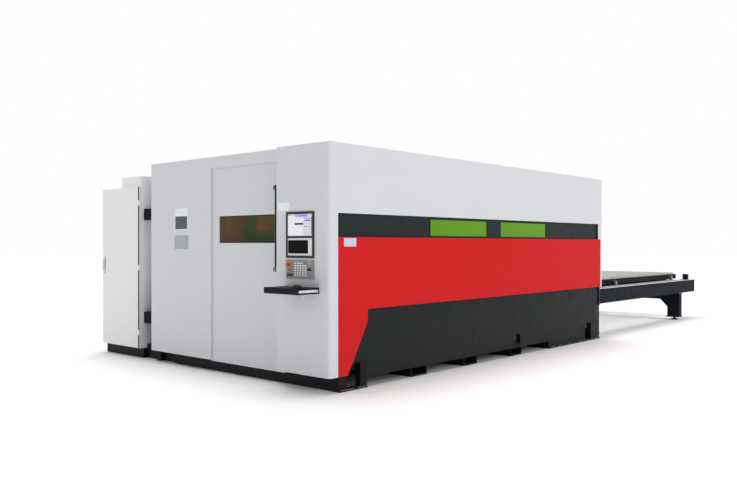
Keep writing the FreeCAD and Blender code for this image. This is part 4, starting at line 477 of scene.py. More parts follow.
class LASER_OT_finishes(Operator):
    """Makes every finish and gives each part of the frame its own"""

    bl_idname = "laser.finishes"
    bl_label = "Finishes"

    def execute(self, context):
        coats = settings("laser_coats")
        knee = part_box("red_rear_cover")[0].z
        FINISHES.update({
            "white": powder_coat("white powder coat", coats.white, 0.40, tone=0.012, dust=0.10),
            "rear_white": powder_coat("rear powder coat", coats.white, 0.40, tone=0.012,
                                      low_tint=coats.skirt, low_top=knee),
            "frame_coat": powder_coat("cabin frame coat", coats.grey, 0.50, tone=0.05,
                                      low_tint=coats.skirt, low_top=knee),
            # The cabinet's coat is the cabin's same white made brighter, as painted light.
            "cabinet_white_painted_light": powder_coat("cabinet powder coat", coats.cabinet, 0.42, tone=0.012,
                                         dust=0.06),
            "red": powder_coat("red powder coat", coats.red, 0.48, tone=0.02, dust=0.03,
                               gloss=0.04, plate=[(axis, *ends) for axis, ends
                                                  in zip("XZ", SIDE_PLATE)]),
            "charcoal": powder_coat("charcoal coat", coats.charcoal, 0.52, 0.0004, 0.08, 0.03,
                                    gloss=0.13),
            "skirt": powder_coat("skirt coat", coats.skirt, 0.52, 0.0002, 0.05, 0.01, gloss=0.11),
            "frame_grey": powder_coat("screen frame coat", (0.040, 0.042, 0.050), 0.45, 0.0002,
                                      0.06, gloss=0.16),
            "black": powder_coat("black base coat", coats.black, 0.50, 0.0004, 0.10, 0.02, 0.01,
                                 gloss=0.12),
            "duct_black": powder_coat("black duct coat", coats.black, 0.60, 0.0006, 0.10,
                                      gloss=0.12),
            "navy": powder_coat("dark blue coat", coats.navy, 0.55, 0.0004, 0.10, scuff_and_highlight=0.01,
                                gloss=0.05),
            "grey": powder_coat("grey coat", coats.grey, 0.50, tone=0.05),
            "panel_grey": powder_coat("panel grey", (0.27, 0.27, 0.27), 0.45, 0.0001, 0.03),
            "bed_grey": powder_coat("bed coat", (0.10, 0.105, 0.11), 0.55, 0.0006, 0.08, 0.2,
                                    0.15),
            "enamel": powder_coat("gantry enamel", (0.66, 0.68, 0.70), 0.32, tone=0.03),
            # A paler red for the red covers' joints: a painted highlight.
            "red_joint_highlight": powder_coat("red sheet edge", (0.80, 0.12, 0.11), 0.5, gloss=0.05),
            # Pale patchy strips on the flange edges: a painted highlight.
            "flange_edge_highlight": powder_coat("worn sheet edge", (0.075, 0.08, 0.085), 0.5, tone=0.3,
                                     scuff_and_highlight=1.0),
            "dark_plate": powder_coat("dark plate", (0.085, 0.095, 0.105), 0.45, 0.0001, 0.05),
            "green_pane": side_pane("green acrylic", coats.green),
            "door_pane_painted_reflections": door_pane_painted_reflections("door acrylic"),
            "slat_steel": worn_slat("worn slat steel", coats.slat),
            "handle": handle_coat("handle coat", (0.020, 0.021, 0.027)),
            # Pale strips on the base plates' edges: a painted highlight.
            "sole_edge_highlight": edge_highlight_steel("worn sole edge", (0.62, 0.63, 0.64), (0.012, 0.013, 0.014)),
            "keys": key_plastic("key membrane", (0.86, 0.87, 0.83), (0.03, 0.34, 0.24)),
            "rail_steel": bright_metal("ground rail steel", (0.72, 0.72, 0.71), 0.34, (0.04, 1, 1),
                                       0.15),
            "foot_steel": bright_metal("zinc plated steel", (0.50, 0.50, 0.50), 0.42),
            "bolt_steel": bright_metal("blackened bolts", (0.20, 0.20, 0.21), 0.45),
            "foot_dark": bright_metal("blackened foot", (0.075, 0.08, 0.085), 0.5),
            "rail_strip": bright_metal("stainless strip", (0.88, 0.89, 0.91), 0.45, (0.04, 1, 1)),
            "cast": bright_metal("cast aluminium", (0.62, 0.63, 0.64), 0.45),
            "brass": bright_metal("turned brass", (0.60, 0.42, 0.16), 0.28, (1, 1, 12)),
            "chrome": bright_metal("plated steel", (0.62, 0.62, 0.63), 0.24, (1, 1, 8)),
            "pale_plate": bright_metal("pale anodised plate", (0.66, 0.68, 0.70), 0.42,
                                       (1, 0.05, 1)),
            "grey_plate": bright_metal("grey anodised plate", (0.36, 0.37, 0.38), 0.46,
                                       (1, 0.05, 1)),
            "wheel": moulded("wheel nylon", (0.045, 0.045, 0.047), 0.55),
            "glide": moulded("glide nylon", (0.68, 0.68, 0.64), 0.5),
            "pad_black": moulded("soft black pad", (0.0040, 0.0050, 0.0045), 0.6, gloss=0.06),
            "selector_grey": moulded("dark grey plastic", (0.045, 0.047, 0.050), 0.42),
            "black_plastic": moulded("black plastic", (0.018, 0.018, 0.019), 0.42),
            "lever_grey": moulded("lever grey", (0.62, 0.63, 0.64), 0.4),
            "keyboard": moulded("pale keyboard", (0.72, 0.73, 0.74), 0.5),
            "gasket": moulded("grey gasket", (0.15, 0.14, 0.135), 0.6),
            # A pale seal in the door gap: painted light in place of the gap's shade.
            "seal": moulded("pale brush seal", (0.62, 0.63, 0.65), 0.7, 700.0, 0.0003),
            "rubber": moulded("black rubber", (0.013, 0.013, 0.013), 0.70, 500.0, 0.0001),
            "pale_panel": moulded("pale panel plastic", (0.84, 0.86, 0.855), 0.4, 1200.0, 0.00003),
            "red_plastic": moulded("red plastic", (0.58, 0.060, 0.038), 0.35, coat=0.1),
            "green_plastic": moulded("green plastic", (0.03, 0.36, 0.10), 0.3, coat=0.3),
            "yellow_plastic": moulded("yellow plastic", (0.56, 0.30, 0.11), 0.45),
            "pink_plastic": moulded("signal lamp", (0.52, 0.12, 0.19), 0.35, coat=0.1),
            "led_green": moulded("ready lamp", (0.10, 0.56, 0.08), 0.35, coat=0.1),
        })
        for words, tint in SCREEN_TINTS.items():
            FINISHES["screen_" + words] = lit_screen("screen " + words, tint)
        named = {node: name for name, words in NODE_FINISHES.items() for node in words.split()}
        missing = set(NODES) ^ set(named)
        if missing:
            raise RuntimeError(f"no finish, or no node, for {sorted(missing)}")
        for node, thing in NODES.items():
            if not thing.material_slots:
                thing.data.materials.append(FINISHES[named[node]])
            for slot in thing.material_slots:
                slot.material = FINISHES[named[node]]
        return {"FINISHED"}


# Making pieces. A face is named by the way it looks, and "at" is its level on that axis.
# The places on it are pairs of the two other axes, in their order.

CREASE = math.radians(32)
CORNER_STEPS = 5
SMALLEST_CORNER = 1e-5
SAME_PLACE = 1e-6


def over(facing, at, a, b, height):
    """The point at (a, b) on a face, raised by a height."""
    point = [a, b]
    point.insert("xyz".index(facing[1]), at + height * (1 if facing[0] == "+" else -1))
    return Vector(point)


def drawn_in(corners, margin, margin_up=None):
    """A rectangle's corners, moved inwards."""
    (a, b), (c, d) = corners
    up = margin if margin_up is None else margin_up
    return (a + margin, b + up), (c - margin, d - up)


def front_of(node, margin=0.0):
    """The (Y, Z) corners of a node, as the operator sees it."""
    low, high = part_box(node)
    return drawn_in(((low.y, low.z), (high.y, high.z)), margin)


def about(centre, half, low, high=None):
    """The corners of a bar about a place: its half width, and its ends over that place."""
    high = -low if high is None else high
    return (centre[0] - half, centre[1] + low), (centre[0] + half, centre[1] + high)


def linked(name, data):
    thing = bpy.data.objects.new(name, data)
    bpy.context.scene.collection.objects.link(thing)
    return thing


def plain_mesh(name, mesh):
    """Keeps a bmesh under a name and frees it."""
    data = bpy.data.meshes.new(name)
    mesh.to_mesh(data)
    mesh.free()
    return data


def settle(name, data, body, replaces):
    """Makes a mesh one piece of the part, on its body."""
    thing = linked(name, data)
    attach(thing, body)
    if replaces:
        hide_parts(*replaces)


def piece(name, mesh, finishes, body="machine", replaces=()):
    """Makes one piece from a bmesh, with outward faces and crisp edges."""
    bmesh.ops.recalc_face_normals(mesh, faces=mesh.faces)
    for face in mesh.faces:
        face.smooth = True
    for edge in mesh.edges:
        if len(edge.link_faces) == 2:
            edge.smooth = edge.calc_face_angle(0.0) < CREASE
    data = plain_mesh(name, mesh)
    for each in finishes.split():
        data.materials.append(FINISHES[each])
    settle(name, data, body, replaces)


def loops(mesh, rings, material=0, hoop=False):
    """Joins rows of points that each go round once, into a closed solid or a hoop."""
    rows = [[mesh.verts.new(point) for point in ring] for ring in rings]
    made = []
    for lower, upper in zip(rows, rows[1:] + rows[:1] if hoop else rows[1:]):
        for index, corner in enumerate(lower):
            after = (index + 1) % len(lower)
            made.append(mesh.faces.new((corner, lower[after], upper[after], upper[index])))
    if not hoop:
        made += [mesh.faces.new(rows[0][::-1]), mesh.faces.new(rows[-1])]
    for face in made:
        face.material_index = material
    if hoop:
        bmesh.ops.remove_doubles(mesh, verts=rows[0], dist=SAME_PLACE)


def rounded(width, height, radius):
    """Points round a rectangle with rounded corners, about its middle."""
    radius = max(min(radius, width / 2, height / 2), SMALLEST_CORNER)
    points = []
    for turn, (a, b) in enumerate(((1, 1), (-1, 1), (-1, -1), (1, -1))):
        for step in range(CORNER_STEPS + 1):
            angle = math.pi / 2 * (turn + step / CORNER_STEPS)
            points.append((a * (width / 2 - radius) + radius * math.cos(angle),
                           b * (height / 2 - radius) + radius * math.sin(angle)))
    return points


def rims(facing, at, corners, radius, steps):
    """Rounded rectangles on a face, from (inset, height) steps."""
    (a, b), (c, d) = corners
    return [[over(facing, at, (a + c) / 2 + x, (b + d) / 2 + y, height) for x, y in
             rounded(c - a - inset * 2, d - b - inset * 2, max(radius - inset, radius * 0.3))]
            for inset, height in steps]


def rounds(facing, at, centre, profile, sides):
    """Circles on a face, from (radius, height) steps."""
    turns = [2 * math.pi * index / sides for index in range(sides)]
    return [[over(facing, at, centre[0] + radius * math.cos(turn),
                  centre[1] + radius * math.sin(turn), height) for turn in turns]
            for radius, height in profile]


def slab(mesh, facing, at, corners, depth, radius=0.002, chamfer=0.0005, base=0.0, material=0):
    """A plate on a face, with rounded corners and a chamfered front edge."""
    steps = ((0.0, base), (0.0, depth - chamfer), (chamfer, depth))
    loops(mesh, rims(facing, at, corners, radius, steps), material)


def border(mesh, facing, at, corners, width, depth, radius=0.004, base=0.0, material=0):
    """A raised frame round an opening on a face."""
    soft = min(width, depth) * 0.25
    steps = ((0, base), (0, depth - soft), (soft, depth), (width - soft, depth),
             (width, depth - soft), (width, base))
    loops(mesh, rims(facing, at, corners, radius, steps), material, hoop=True)


def turned(mesh, facing, at, centre, profile, sides=48, material=0):
    """A turned form from (radius, height) steps, closed at both ends."""
    loops(mesh, rounds(facing, at, centre, profile, sides), material)


def washer(mesh, facing, at, centre, inner, outer, depth, sides=48):
    """A flat ring with chamfered edges."""
    soft = min(depth, outer - inner) * 0.2
    profile = ((outer, 0.0), (outer, depth - soft), (outer - soft, depth), (inner + soft, depth),
               (inner, depth - soft), (inner, 0.0))
    loops(mesh, rounds(facing, at, centre, profile, sides), hoop=True)


def tube(mesh, points, radius, sides=12, material=0):
    """A round bar along a row of points, closed at its ends."""
    points = [Vector(point) for point in points]
    upright = abs((points[1] - points[0]).normalized().z) >= 0.9
    side = Vector((1, 0, 0)) if upright else Vector((0, 0, 1))
    rings = []
    for index, point in enumerate(points):
        run = points[min(index + 1, len(points) - 1)] - points[max(index - 1, 0)]
        run.normalize()
        across = run.cross(side).normalized()
        side = across.cross(run).normalized()
        rings.append([point + (across * math.cos(turn) + side * math.sin(turn)) * radius
                      for turn in (2 * math.pi * step / sides for step in range(sides))])
    loops(mesh, rings, material)


def block(mesh, low, high, chamfer, segments=1):
    """A box whose edges are broken by a small chamfer."""
    made = bmesh.ops.create_cube(mesh, size=1.0)["verts"]
    low, high = Vector(low), Vector(high)
    bmesh.ops.scale(mesh, vec=high - low, verts=made)
    bmesh.ops.translate(mesh, vec=(low + high) / 2, verts=made)
    edges = list({edge for vert in made for edge in vert.link_edges})
    bmesh.ops.bevel(mesh, geom=edges, offset=chamfer, segments=segments, affect="EDGES",
                    profile=0.5, material=-1)


# Repeated pieces, made by Geometry Nodes

def joined(tree, kind, inputs):
    """Adds a node and feeds its inputs from outputs of others."""
    node = tree.nodes.new(kind)
    for name, output in inputs.items():
        tree.links.new(output, node.inputs[name])
    return node


def in_rows(tree, given):
    """Repeats the given shape in columns and rows."""
    shape = given["Geometry"]
    for number, step in (("Columns", "Column Step"), ("Rows", "Row Step")):
        line = joined(tree, "GeometryNodeMeshLine", {
            "Count": given[number], "Offset": given[step]})
        copies = joined(tree, "GeometryNodeInstanceOnPoints", {
            "Points": line.outputs["Mesh"], "Instance": shape})
        shape = copies.outputs["Instances"]
    return shape


def on_points(tree, given):
    """Puts a turned head, such as a screw or bolt, on every point of the given mesh."""
    cone = joined(tree, "GeometryNodeMeshCone", {
        "Vertices": given["Sides"], "Radius Bottom": given["Radius"],
        "Radius Top": given["Crown"], "Depth": given["Height"]})
    copies = joined(tree, "GeometryNodeInstanceOnPoints", {
        "Points": given["Geometry"], "Instance": cone.outputs["Mesh"],
        "Rotation": given["Turn"]})
    return copies.outputs["Instances"]


TREES = {
    "rows and columns": (in_rows, {
        "Columns": "Int", "Column Step": "Vector", "Rows": "Int", "Row Step": "Vector",
        "Finish": "Material"}),
    "heads on points": (on_points, {
        "Sides": "Int", "Radius": "Float", "Crown": "Float", "Height": "Float",
        "Turn": "Rotation", "Finish": "Material"}),
}


def tree_of(name):
    """A Geometry Nodes tree from the table, built the first time that it is asked for."""
    if name in bpy.data.node_groups:
        return bpy.data.node_groups[name]
    shaped, kinds = TREES[name]
    tree = bpy.data.node_groups.new(name, "GeometryNodeTree")
    for title, kind in {"Geometry": "Geometry", **kinds}.items():
        tree.interface.new_socket(title, in_out="INPUT", socket_type="NodeSocket" + kind)
    tree.interface.new_socket("Geometry", in_out="OUTPUT", socket_type="NodeSocketGeometry")
    given = tree.nodes.new("NodeGroupInput").outputs
    real = joined(tree, "GeometryNodeRealizeInstances", {"Geometry": shaped(tree, given)})
    paint = joined(tree, "GeometryNodeSetMaterial", {
        "Geometry": real.outputs["Geometry"], "Material": given["Finish"]})
    joined(tree, "NodeGroupOutput", {"Geometry": paint.outputs["Geometry"]})
    return tree


def grown(name, mesh, tree_name, values, slot, body="machine", replaces=()):
    """Runs a tree on a bmesh and makes the result, as a plain mesh, a piece."""
    source = linked(name + "_seed", plain_mesh(name + "_seed", mesh))
    tree = tree_of(tree_name)
    modifier = source.modifiers.new(name, "NODES")
    modifier.node_group = tree
    identifiers = {item.name: item.identifier for item in tree.interface.items_tree
                   if item.item_type == "SOCKET" and item.in_out == "INPUT"}
    for title, value in values.items():
        modifier[identifiers[title]] = value
    depsgraph = bpy.context.evaluated_depsgraph_get()
    data = bpy.data.meshes.new_from_object(source.evaluated_get(depsgraph), depsgraph=depsgraph)
    source.modifiers.clear()
    bpy.data.objects.remove(source)
    if len(data.polygons) == 0:
        raise RuntimeError(f"{name} came out empty")
    data.name = name
    settle(name, data, body, replaces)


def ranks(name, mesh, finish, slot, columns, step, rows=1, row_step=(0, 0, 0), **riding):
    """One shape repeated in columns and rows."""
    grown(name, mesh, "rows and columns", {
        "Columns": columns, "Column Step": step, "Rows": rows, "Row Step": row_step,
        "Finish": FINISHES[finish]}, slot, **riding)


HEAD_TURNS = {"+z": (0, 0, 0), "-x": (0, -math.pi / 2, 0), "+y": (-math.pi / 2, 0, 0)}


def heads(name, facing, at, places, radius, height, finish, slot, sides=10, crown=0.7):
    """Screw or bolt heads at (a, b) places on a face."""
    mesh = bmesh.new()
    for a, b in places:
        mesh.verts.new(over(facing, at, a, b, 0.0))
    grown(name, mesh, "heads on points", {
        "Sides": sides, "Radius": radius, "Crown": radius * crown, "Height": height,
        "Turn": HEAD_TURNS[facing], "Finish": FINISHES[finish]}, slot)


def along_edges(low, high, inset, pitch):
    """Even places round the inside of a rectangle."""
    places = []
    for axis in (0, 1):
        start, end = low[axis] + inset, high[axis] - inset
        steps = max(int(round((end - start) / pitch)), 1)
        for index in range(steps + 1):
            value = start + (end - start) * index / steps
            for side in (low[1 - axis] + inset, high[1 - axis] - inset):
                place = (value, side) if axis == 0 else (side, value)
                if all(abs(place[0] - a) + abs(place[1] - b) > pitch * 0.2 for a, b in places):
                    places.append(place)
    return places


# Cabin: window trims, plates, cover screws

class LASER_OT_window_trims(Operator):
    """Rubber trims of the side and door windows, and the pale brush seal round the door, whose
    paleness is painted light in the gap's shade
    """

    bl_idname = "laser.window_trims"
    bl_label = "Window trims"

    def execute(self, context):
        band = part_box("near_window_band")[0].y
        low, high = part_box("near_windows")
        ends = sorted(vert.co.x for vert in NODES["near_windows"].data.vertices)
        gap = max(zip(ends, ends[1:]), key=lambda pair: pair[1] - pair[0])
        mesh = bmesh.new()
        for start, end in ((low.x, gap[0]), (gap[1], high.x)):
            border(mesh, "-y", band, drawn_in(((start, low.z), (end, high.z)), -0.003),
                   0.006, 0.0020)
        piece("side_window_trims", mesh, "rubber")

        low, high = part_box("door_leaf")
        mesh = bmesh.new()
        border(mesh, "-x", low.x, front_of("door_window", 0.008), 0.008, 0.0010)
        piece("door_window_trim", mesh, "rubber", "door")

        # The pale seal fills the gap between the wall and the leaf behind it, painted light where
        # the gap would be in shade.
        behind, before = low.x - 0.0055, low.x - 0.0018
        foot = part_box("front_fixed_panels")[0].z + 0.004
        mesh = bmesh.new()
        block(mesh, (behind, high.y - 0.0142, foot), (before, high.y - 0.0030, high.z), 0.0005)
        block(mesh, (behind, low.y + 0.004, high.z - 0.006),
              (before, high.y - 0.0160, high.z + 0.009), 0.0005)
        piece("door_brush_seal", mesh, "seal")
        return {"FINISHED"}


class LASER_OT_plates(Operator):
    """Bare plates on the operator face and the console"""

    bl_idname = "laser.plates"
    bl_label = "Bare plates"

    def execute(self, context):
        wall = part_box("front_fixed_panels")[0].x
        mesh = bmesh.new()
        slab(mesh, "-x", wall, UPPER_PLATE, FACE_PLATE_DEPTH)
        slab(mesh, "-x", wall, UPPER_PLATE_FIELD, 0.0028, material=1)
        piece("upper_face_plate", mesh, "pale_plate dark_plate")
        mesh = bmesh.new()
        slab(mesh, "-x", wall, LOWER_PLATE, FACE_PLATE_DEPTH)
        border(mesh, "-x", wall, drawn_in(LOWER_PLATE, 0.008), 0.003, 0.0028, base=0.0015)
        piece("lower_face_plate", mesh, "grey_plate")
        mesh = bmesh.new()
        slab(mesh, "-x", FACE, CONSOLE_PLATE, 0.0015, radius=0.006)
        piece("console_plate", mesh, "pale_plate")
        rivets = []
        for plate in (UPPER_PLATE, LOWER_PLATE):
            (left, foot), (right, top) = drawn_in(plate, 0.006)
            rivets += [(a, b) for a in (left, right) for b in (foot, top)]
        heads("plate_rivets", "-x", wall - FACE_PLATE_DEPTH, rivets, 0.0026, 0.0012, "chrome",
              "bright_steel", sides=12)
        return {"FINISHED"}


def cover_splits(node):
    """Where the covers of one node meet along X, between the node's two ends."""
    ends = sorted({round(vert.co.x, 4) for vert in NODES[node].data.vertices})
    joints = [(a + b) / 2 for a, b in zip(ends, ends[1:]) if 0.0001 < b - a < 0.001]
    return [ends[0], *joints, ends[-1]]


class LASER_OT_cover_screws(Operator):
    """Dome-head screws and joint strips of the roof and far side, and paler strips at the red
    covers' joints, which are painted highlights
    """

    bl_idname = "laser.cover_screws"
    bl_label = "Cover screws"

    def execute(self, context):
        sizes = settings("laser_fasteners")
        half, top, sunk = 0.0028, -0.0012, -0.0028
        joints = bmesh.new()
        for name, node, facing, inset, pitch in (
            ("far_cover_screws", "far_side_covers", "+y", 0.03, sizes.pitch),
            ("roof_cover_screws", "roof_covers", "+z", 0.035, sizes.pitch * 1.6),
        ):
            low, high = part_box(node)
            outward = "xyz".index(facing[1])
            side, level = 3 - outward, high[outward]
            ends = cover_splits(node)
            places = []
            for start, end in zip(ends, ends[1:]):
                places += along_edges((start, low[side]), (end, high[side]), inset, pitch)
            heads(name, facing, level - 0.0005, places, sizes.screw, 0.0035, "white",
                  "white_paint")
            for x in ends[1:-1]:
                block(joints, over(facing, level, x - half, low[side] + 0.004, sunk),
                      over(facing, level, x + half, high[side] - 0.004, top), 0.0003)
        piece("cover_joints", joints, "rubber")

        # Paler red strips where the red covers meet: painted highlights of their edges.
        reds = [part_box(f"red_{place}_cover") for place in ("front", "middle", "rear")]
        mesh = bmesh.new()
        for (_, left), (right, _) in zip(reds, reds[1:]):
            block(mesh, (left.x + 0.0002, right.y + 0.0004, right.z + 0.001),
                  (right.x - 0.0002, right.y + 0.0100, left.z - 0.001), 0.0003)
        piece("red_cover_joints", mesh, "red_joint_highlight")
        return {"FINISHED"}


# Controls

# Shares of the screen, as an operator sees it: left, top, right, bottom and the tone.
SCREEN_TONES = "page band buttons bar field table edge".split()
SCREEN_PARTS = (
    (0.010, 0.020, 0.285, 0.570, 0), (0.010, 0.600, 0.285, 0.985, 0),
    (0.030, 0.050, 0.130, 0.075, 6), (0.165, 0.050, 0.255, 0.075, 5),
    (0.300, 0.010, 0.790, 0.068, 1), (0.300, 0.068, 0.420, 0.155, 1),
    (0.420, 0.068, 0.800, 0.112, 2), (0.420, 0.112, 0.790, 0.155, 1),
    (0.815, 0.015, 0.985, 0.130, 5), (0.300, 0.170, 0.640, 0.385, 4),
    (0.290, 0.412, 0.640, 0.488, 3), (0.300, 0.520, 0.640, 0.985, 0),
    (0.665, 0.170, 0.925, 0.245, 1), (0.690, 0.268, 0.925, 0.335, 2),
    (0.665, 0.355, 0.925, 0.550, 5), (0.665, 0.562, 0.890, 0.590, 6),
    (0.665, 0.610, 0.925, 0.985, 5), (0.945, 0.150, 0.990, 0.930, 6),
)


def control(node):
    """Middle (Y, Z), half width, depth and seat of a control on the operator panel."""
    low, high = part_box(node)
    centre = ((low.y + high.y) / 2, (low.z + high.z) / 2)
    return centre, (high.y - low.y) / 2, high.x - low.x, high.x


class LASER_OT_screen_unit(Operator):
    """Bezel lip, page layout of the screen and the soft entry pad"""

    bl_idname = "laser.screen_unit"
    bl_label = "Screen unit"

    def execute(self, context):
        low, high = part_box("screen")
        width, height = high.y - low.y, high.z - low.z
        mesh = bmesh.new()
        for left, top, right, bottom, tone in SCREEN_PARTS:
            corners = ((high.y - width * right, high.z - height * bottom),
                       (high.y - width * left, high.z - height * top))
            slab(mesh, "-x", low.x, corners, 0.0002, 0.0015, 0.0001, material=tone)
        piece("screen_page", mesh, " ".join("screen_" + tone for tone in SCREEN_TONES))

        frame_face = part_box("screen_frame")[0].x
        mesh = bmesh.new()
        for node in ("screen", "keypad_panel"):
            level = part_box(node)[0].x
            border(mesh, "-x", level, front_of(node, -0.0002), 0.0025,
                   level - frame_face + 0.0005)
        piece("screen_bezel_lip", mesh, "rubber")

        face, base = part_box("entry_pad")[0].x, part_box("keypad_panel")[0].x
        mesh = bmesh.new()
        slab(mesh, "-x", base, front_of("entry_pad"), base - face, 0.012, 0.0012)
        border(mesh, "-x", face, front_of("entry_pad", 0.008), 0.003, 0.0008, 0.008, base=-0.001)
        piece("entry_pad_cover", mesh, "pad_black", replaces=("entry_pad",))
        return {"FINISHED"}


class LASER_OT_membrane_keys(Operator):
    """Rows and columns of rounded membrane keys"""

    bl_idname = "laser.membrane_keys"
    bl_label = "Membrane keys"

    def execute(self, context):
        sizes = settings("laser_controls")
        low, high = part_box("panel_keys")
        wide, tall = KEY_SIZE
        mesh = bmesh.new()
        slab(mesh, "-x", high.x, ((low.y, low.z), (low.y + wide, low.z + tall)),
             high.x - low.x, sizes.key_radius, 0.0009)
        ranks("membrane_keys", mesh, "keys", "pale_plastic",
              sizes.columns, (0, (high.y - low.y - wide) / (sizes.columns - 1), 0),
              sizes.rows, (0, 0, (high.z - low.z - tall) / (sizes.rows - 1)),
              replaces=("panel_keys",))
        return {"FINISHED"}


class LASER_OT_push_buttons(Operator):
    """Emergency stop with its yellow ring, start and halt buttons, and two lamps"""

    bl_idname = "laser.push_buttons"
    bl_label = "Push buttons"

    def execute(self, context):
        sides = settings("laser_controls").sides
        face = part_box("panel_keys")[1].x
        centre, reach, depth, seat = control("emergency_stop")
        stem = 0.0108
        mesh = bmesh.new()
        turned(mesh, "-x", seat, centre, [(stem, 0.0), (stem, depth * 0.55)] + [
            (reach * share, depth * level) for share, level in (
                (0.80, 0.60), (0.97, 0.66), (1.00, 0.74), (0.96, 0.84), (0.80, 0.92),
                (0.50, 0.98), (0.15, 1.00))], sides)
        piece("stop_mushroom", mesh, "red_plastic", "stop_button",
              replaces=("emergency_stop",))
        mesh = bmesh.new()
        washer(mesh, "-x", face, centre, 0.0125, 0.0300, 0.0047, sides)
        piece("stop_ring", mesh, "yellow_plastic")

        for name, tint in (("start", "green_plastic"), ("halt", "red_plastic")):
            centre, reach, depth, seat = control(name + "_button")
            mesh = bmesh.new()
            turned(mesh, "-x", seat, centre, [(reach * 0.99, 0.0)] + [
                (reach * share, depth - drop) for share, drop in (
                    (0.99, 0.0018), (0.93, 0.0006), (0.84, 0.0), (0.74, 0.0), (0.60, 0.0010),
                    (0.20, 0.0014))], sides)
            piece(name + "_button_cap", mesh, tint, name + "_cap",
                  replaces=(name + "_button",))
            mesh = bmesh.new()
            washer(mesh, "-x", face, centre, reach + 0.0005, reach + 0.0032, 0.0022, sides)
            piece(name + "_button_collar", mesh, "chrome")

        mesh = bmesh.new()
        slab(mesh, "-x", face, drawn_in(SIGNAL_LAMP, 0.003), 0.0030, 0.003, 0.0008)
        border(mesh, "-x", face, SIGNAL_LAMP, 0.003, 0.0022, material=1)
        piece("signal_lamp", mesh, "pink_plastic chrome")
        mesh = bmesh.new()
        washer(mesh, "-x", face, READY_LAMP, 0.0055, 0.0078, 0.0020, sides)
        turned(mesh, "-x", face, READY_LAMP, (
            (0.0054, 0.0), (0.0054, 0.0026), (0.0046, 0.0038), (0.0028, 0.0046), (0.0008, 0.0050),
        ), sides, material=1)
        piece("ready_lamp", mesh, "chrome led_green")
        return {"FINISHED"}


def ribbed_knob(mesh, node):
    """The override knob: a tapered grip with ribs and a pointer."""
    centre, reach, depth, seat = control(node)
    steps = 4 * 16
    rings = []
    for share, level in ((1.0, 0.0), (1.0, 0.72), (0.93, 0.90), (0.80, 0.97)):
        ring = []
        for index in range(steps):
            turn = 2 * math.pi * index / steps
            radius = reach * share * (1 - 0.035 * (index % 4 in (1, 2)))
            ring.append(over("-x", seat, centre[0] + radius * math.cos(turn),
                             centre[1] + radius * math.sin(turn), depth * level))
        rings.append(ring)
    loops(mesh, rings)
    slab(mesh, "-x", seat, about(centre, 0.0008, reach * 0.35, reach * 0.78), depth, 0.0004,
         0.0002, base=depth * 0.9, material=1)


def selector_knob(mesh, node, sides):
    """A selector: a low disc with a raised bar and a pointer."""
    centre, reach, depth, seat = control(node)
    turned(mesh, "-x", seat, centre, [(reach * share, depth * level) for share, level in (
        (1.0, 0.0), (1.0, 0.38), (0.94, 0.48), (0.80, 0.52))], sides)
    slab(mesh, "-x", seat, about(centre, 0.0032, -reach * 0.92), depth, 0.003, 0.0012,
         base=depth * 0.45)
    slab(mesh, "-x", seat, about(centre, 0.0007, reach * 0.30, reach * 0.80), depth + 0.00004,
         0.0004, 0.00002, base=depth * 0.9, material=1)


def knob_scale(mesh, face, node):
    """Eleven marks round a knob, the first, sixth and last of them larger."""
    middle = Vector(control(node)[0])
    for index in range(11):
        turn = math.radians(240 - 30 * index)
        mark = middle + Vector((math.cos(turn), math.sin(turn))) * 0.0188
        half = 0.00055 if index % 5 else 0.0009
        slab(mesh, "-x", face, about(mark, half, -half), 0.0004, 0.0004, 0.0001)


class LASER_OT_rotary_switches(Operator):
    """Selectors and the override knob with their collars and scale"""

    bl_idname = "laser.rotary_switches"
    bl_label = "Rotary switches"

    def execute(self, context):
        sides = settings("laser_controls").sides
        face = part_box("panel_keys")[1].x
        for node, body, grip in (("left_selector", "left_switch", "selector_grey"),
                                 ("right_selector", "right_switch", "black_plastic"),
                                 ("override_knob", "override_dial", "black_plastic")):
            knob, marks = bmesh.new(), bmesh.new()
            if node == "override_knob":
                ribbed_knob(knob, node)
                knob_scale(marks, face, node)
                ink = "rubber"
            else:
                selector_knob(knob, node, sides)
                centre, reach = control(node)[:2]
                washer(marks, "-x", face, centre, reach - 0.001, reach + 0.0025, 0.00025, sides)
                ink = "chrome"
            piece(node + "_grip", knob, grip + " pale_panel", body,
                  replaces=(node,))
            piece(node + "_marks", marks, ink)
        return {"FINISHED"}


def mouse_rings(low, high):
    """A low rounded shell that falls towards one end, as rings from its foot up."""
    sides, squareness, fall = 28, 0.8, 0.10
    mid, half = (low + high) / 2, (high - low) / 2
    rings = []
    for level, share in ((0.0, 0.90), (0.05, 0.97), (0.30, 1.0), (0.55, 0.94), (0.78, 0.78),
                         (0.92, 0.54), (0.99, 0.24), (1.0, 0.08)):
        ring = []
        for step in range(sides):
            turn = 2 * math.pi * step / sides
            a, b = (math.copysign(abs(value) ** squareness, value) * share
                    for value in (math.cos(turn), math.sin(turn)))
            rise = (high.z - low.z) * level * (1 - fall * (b + 1) / 2)
            ring.append(Vector((mid.x + half.x * a, mid.y + half.y * b, low.z + rise)))
        rings.append(ring)
    return rings


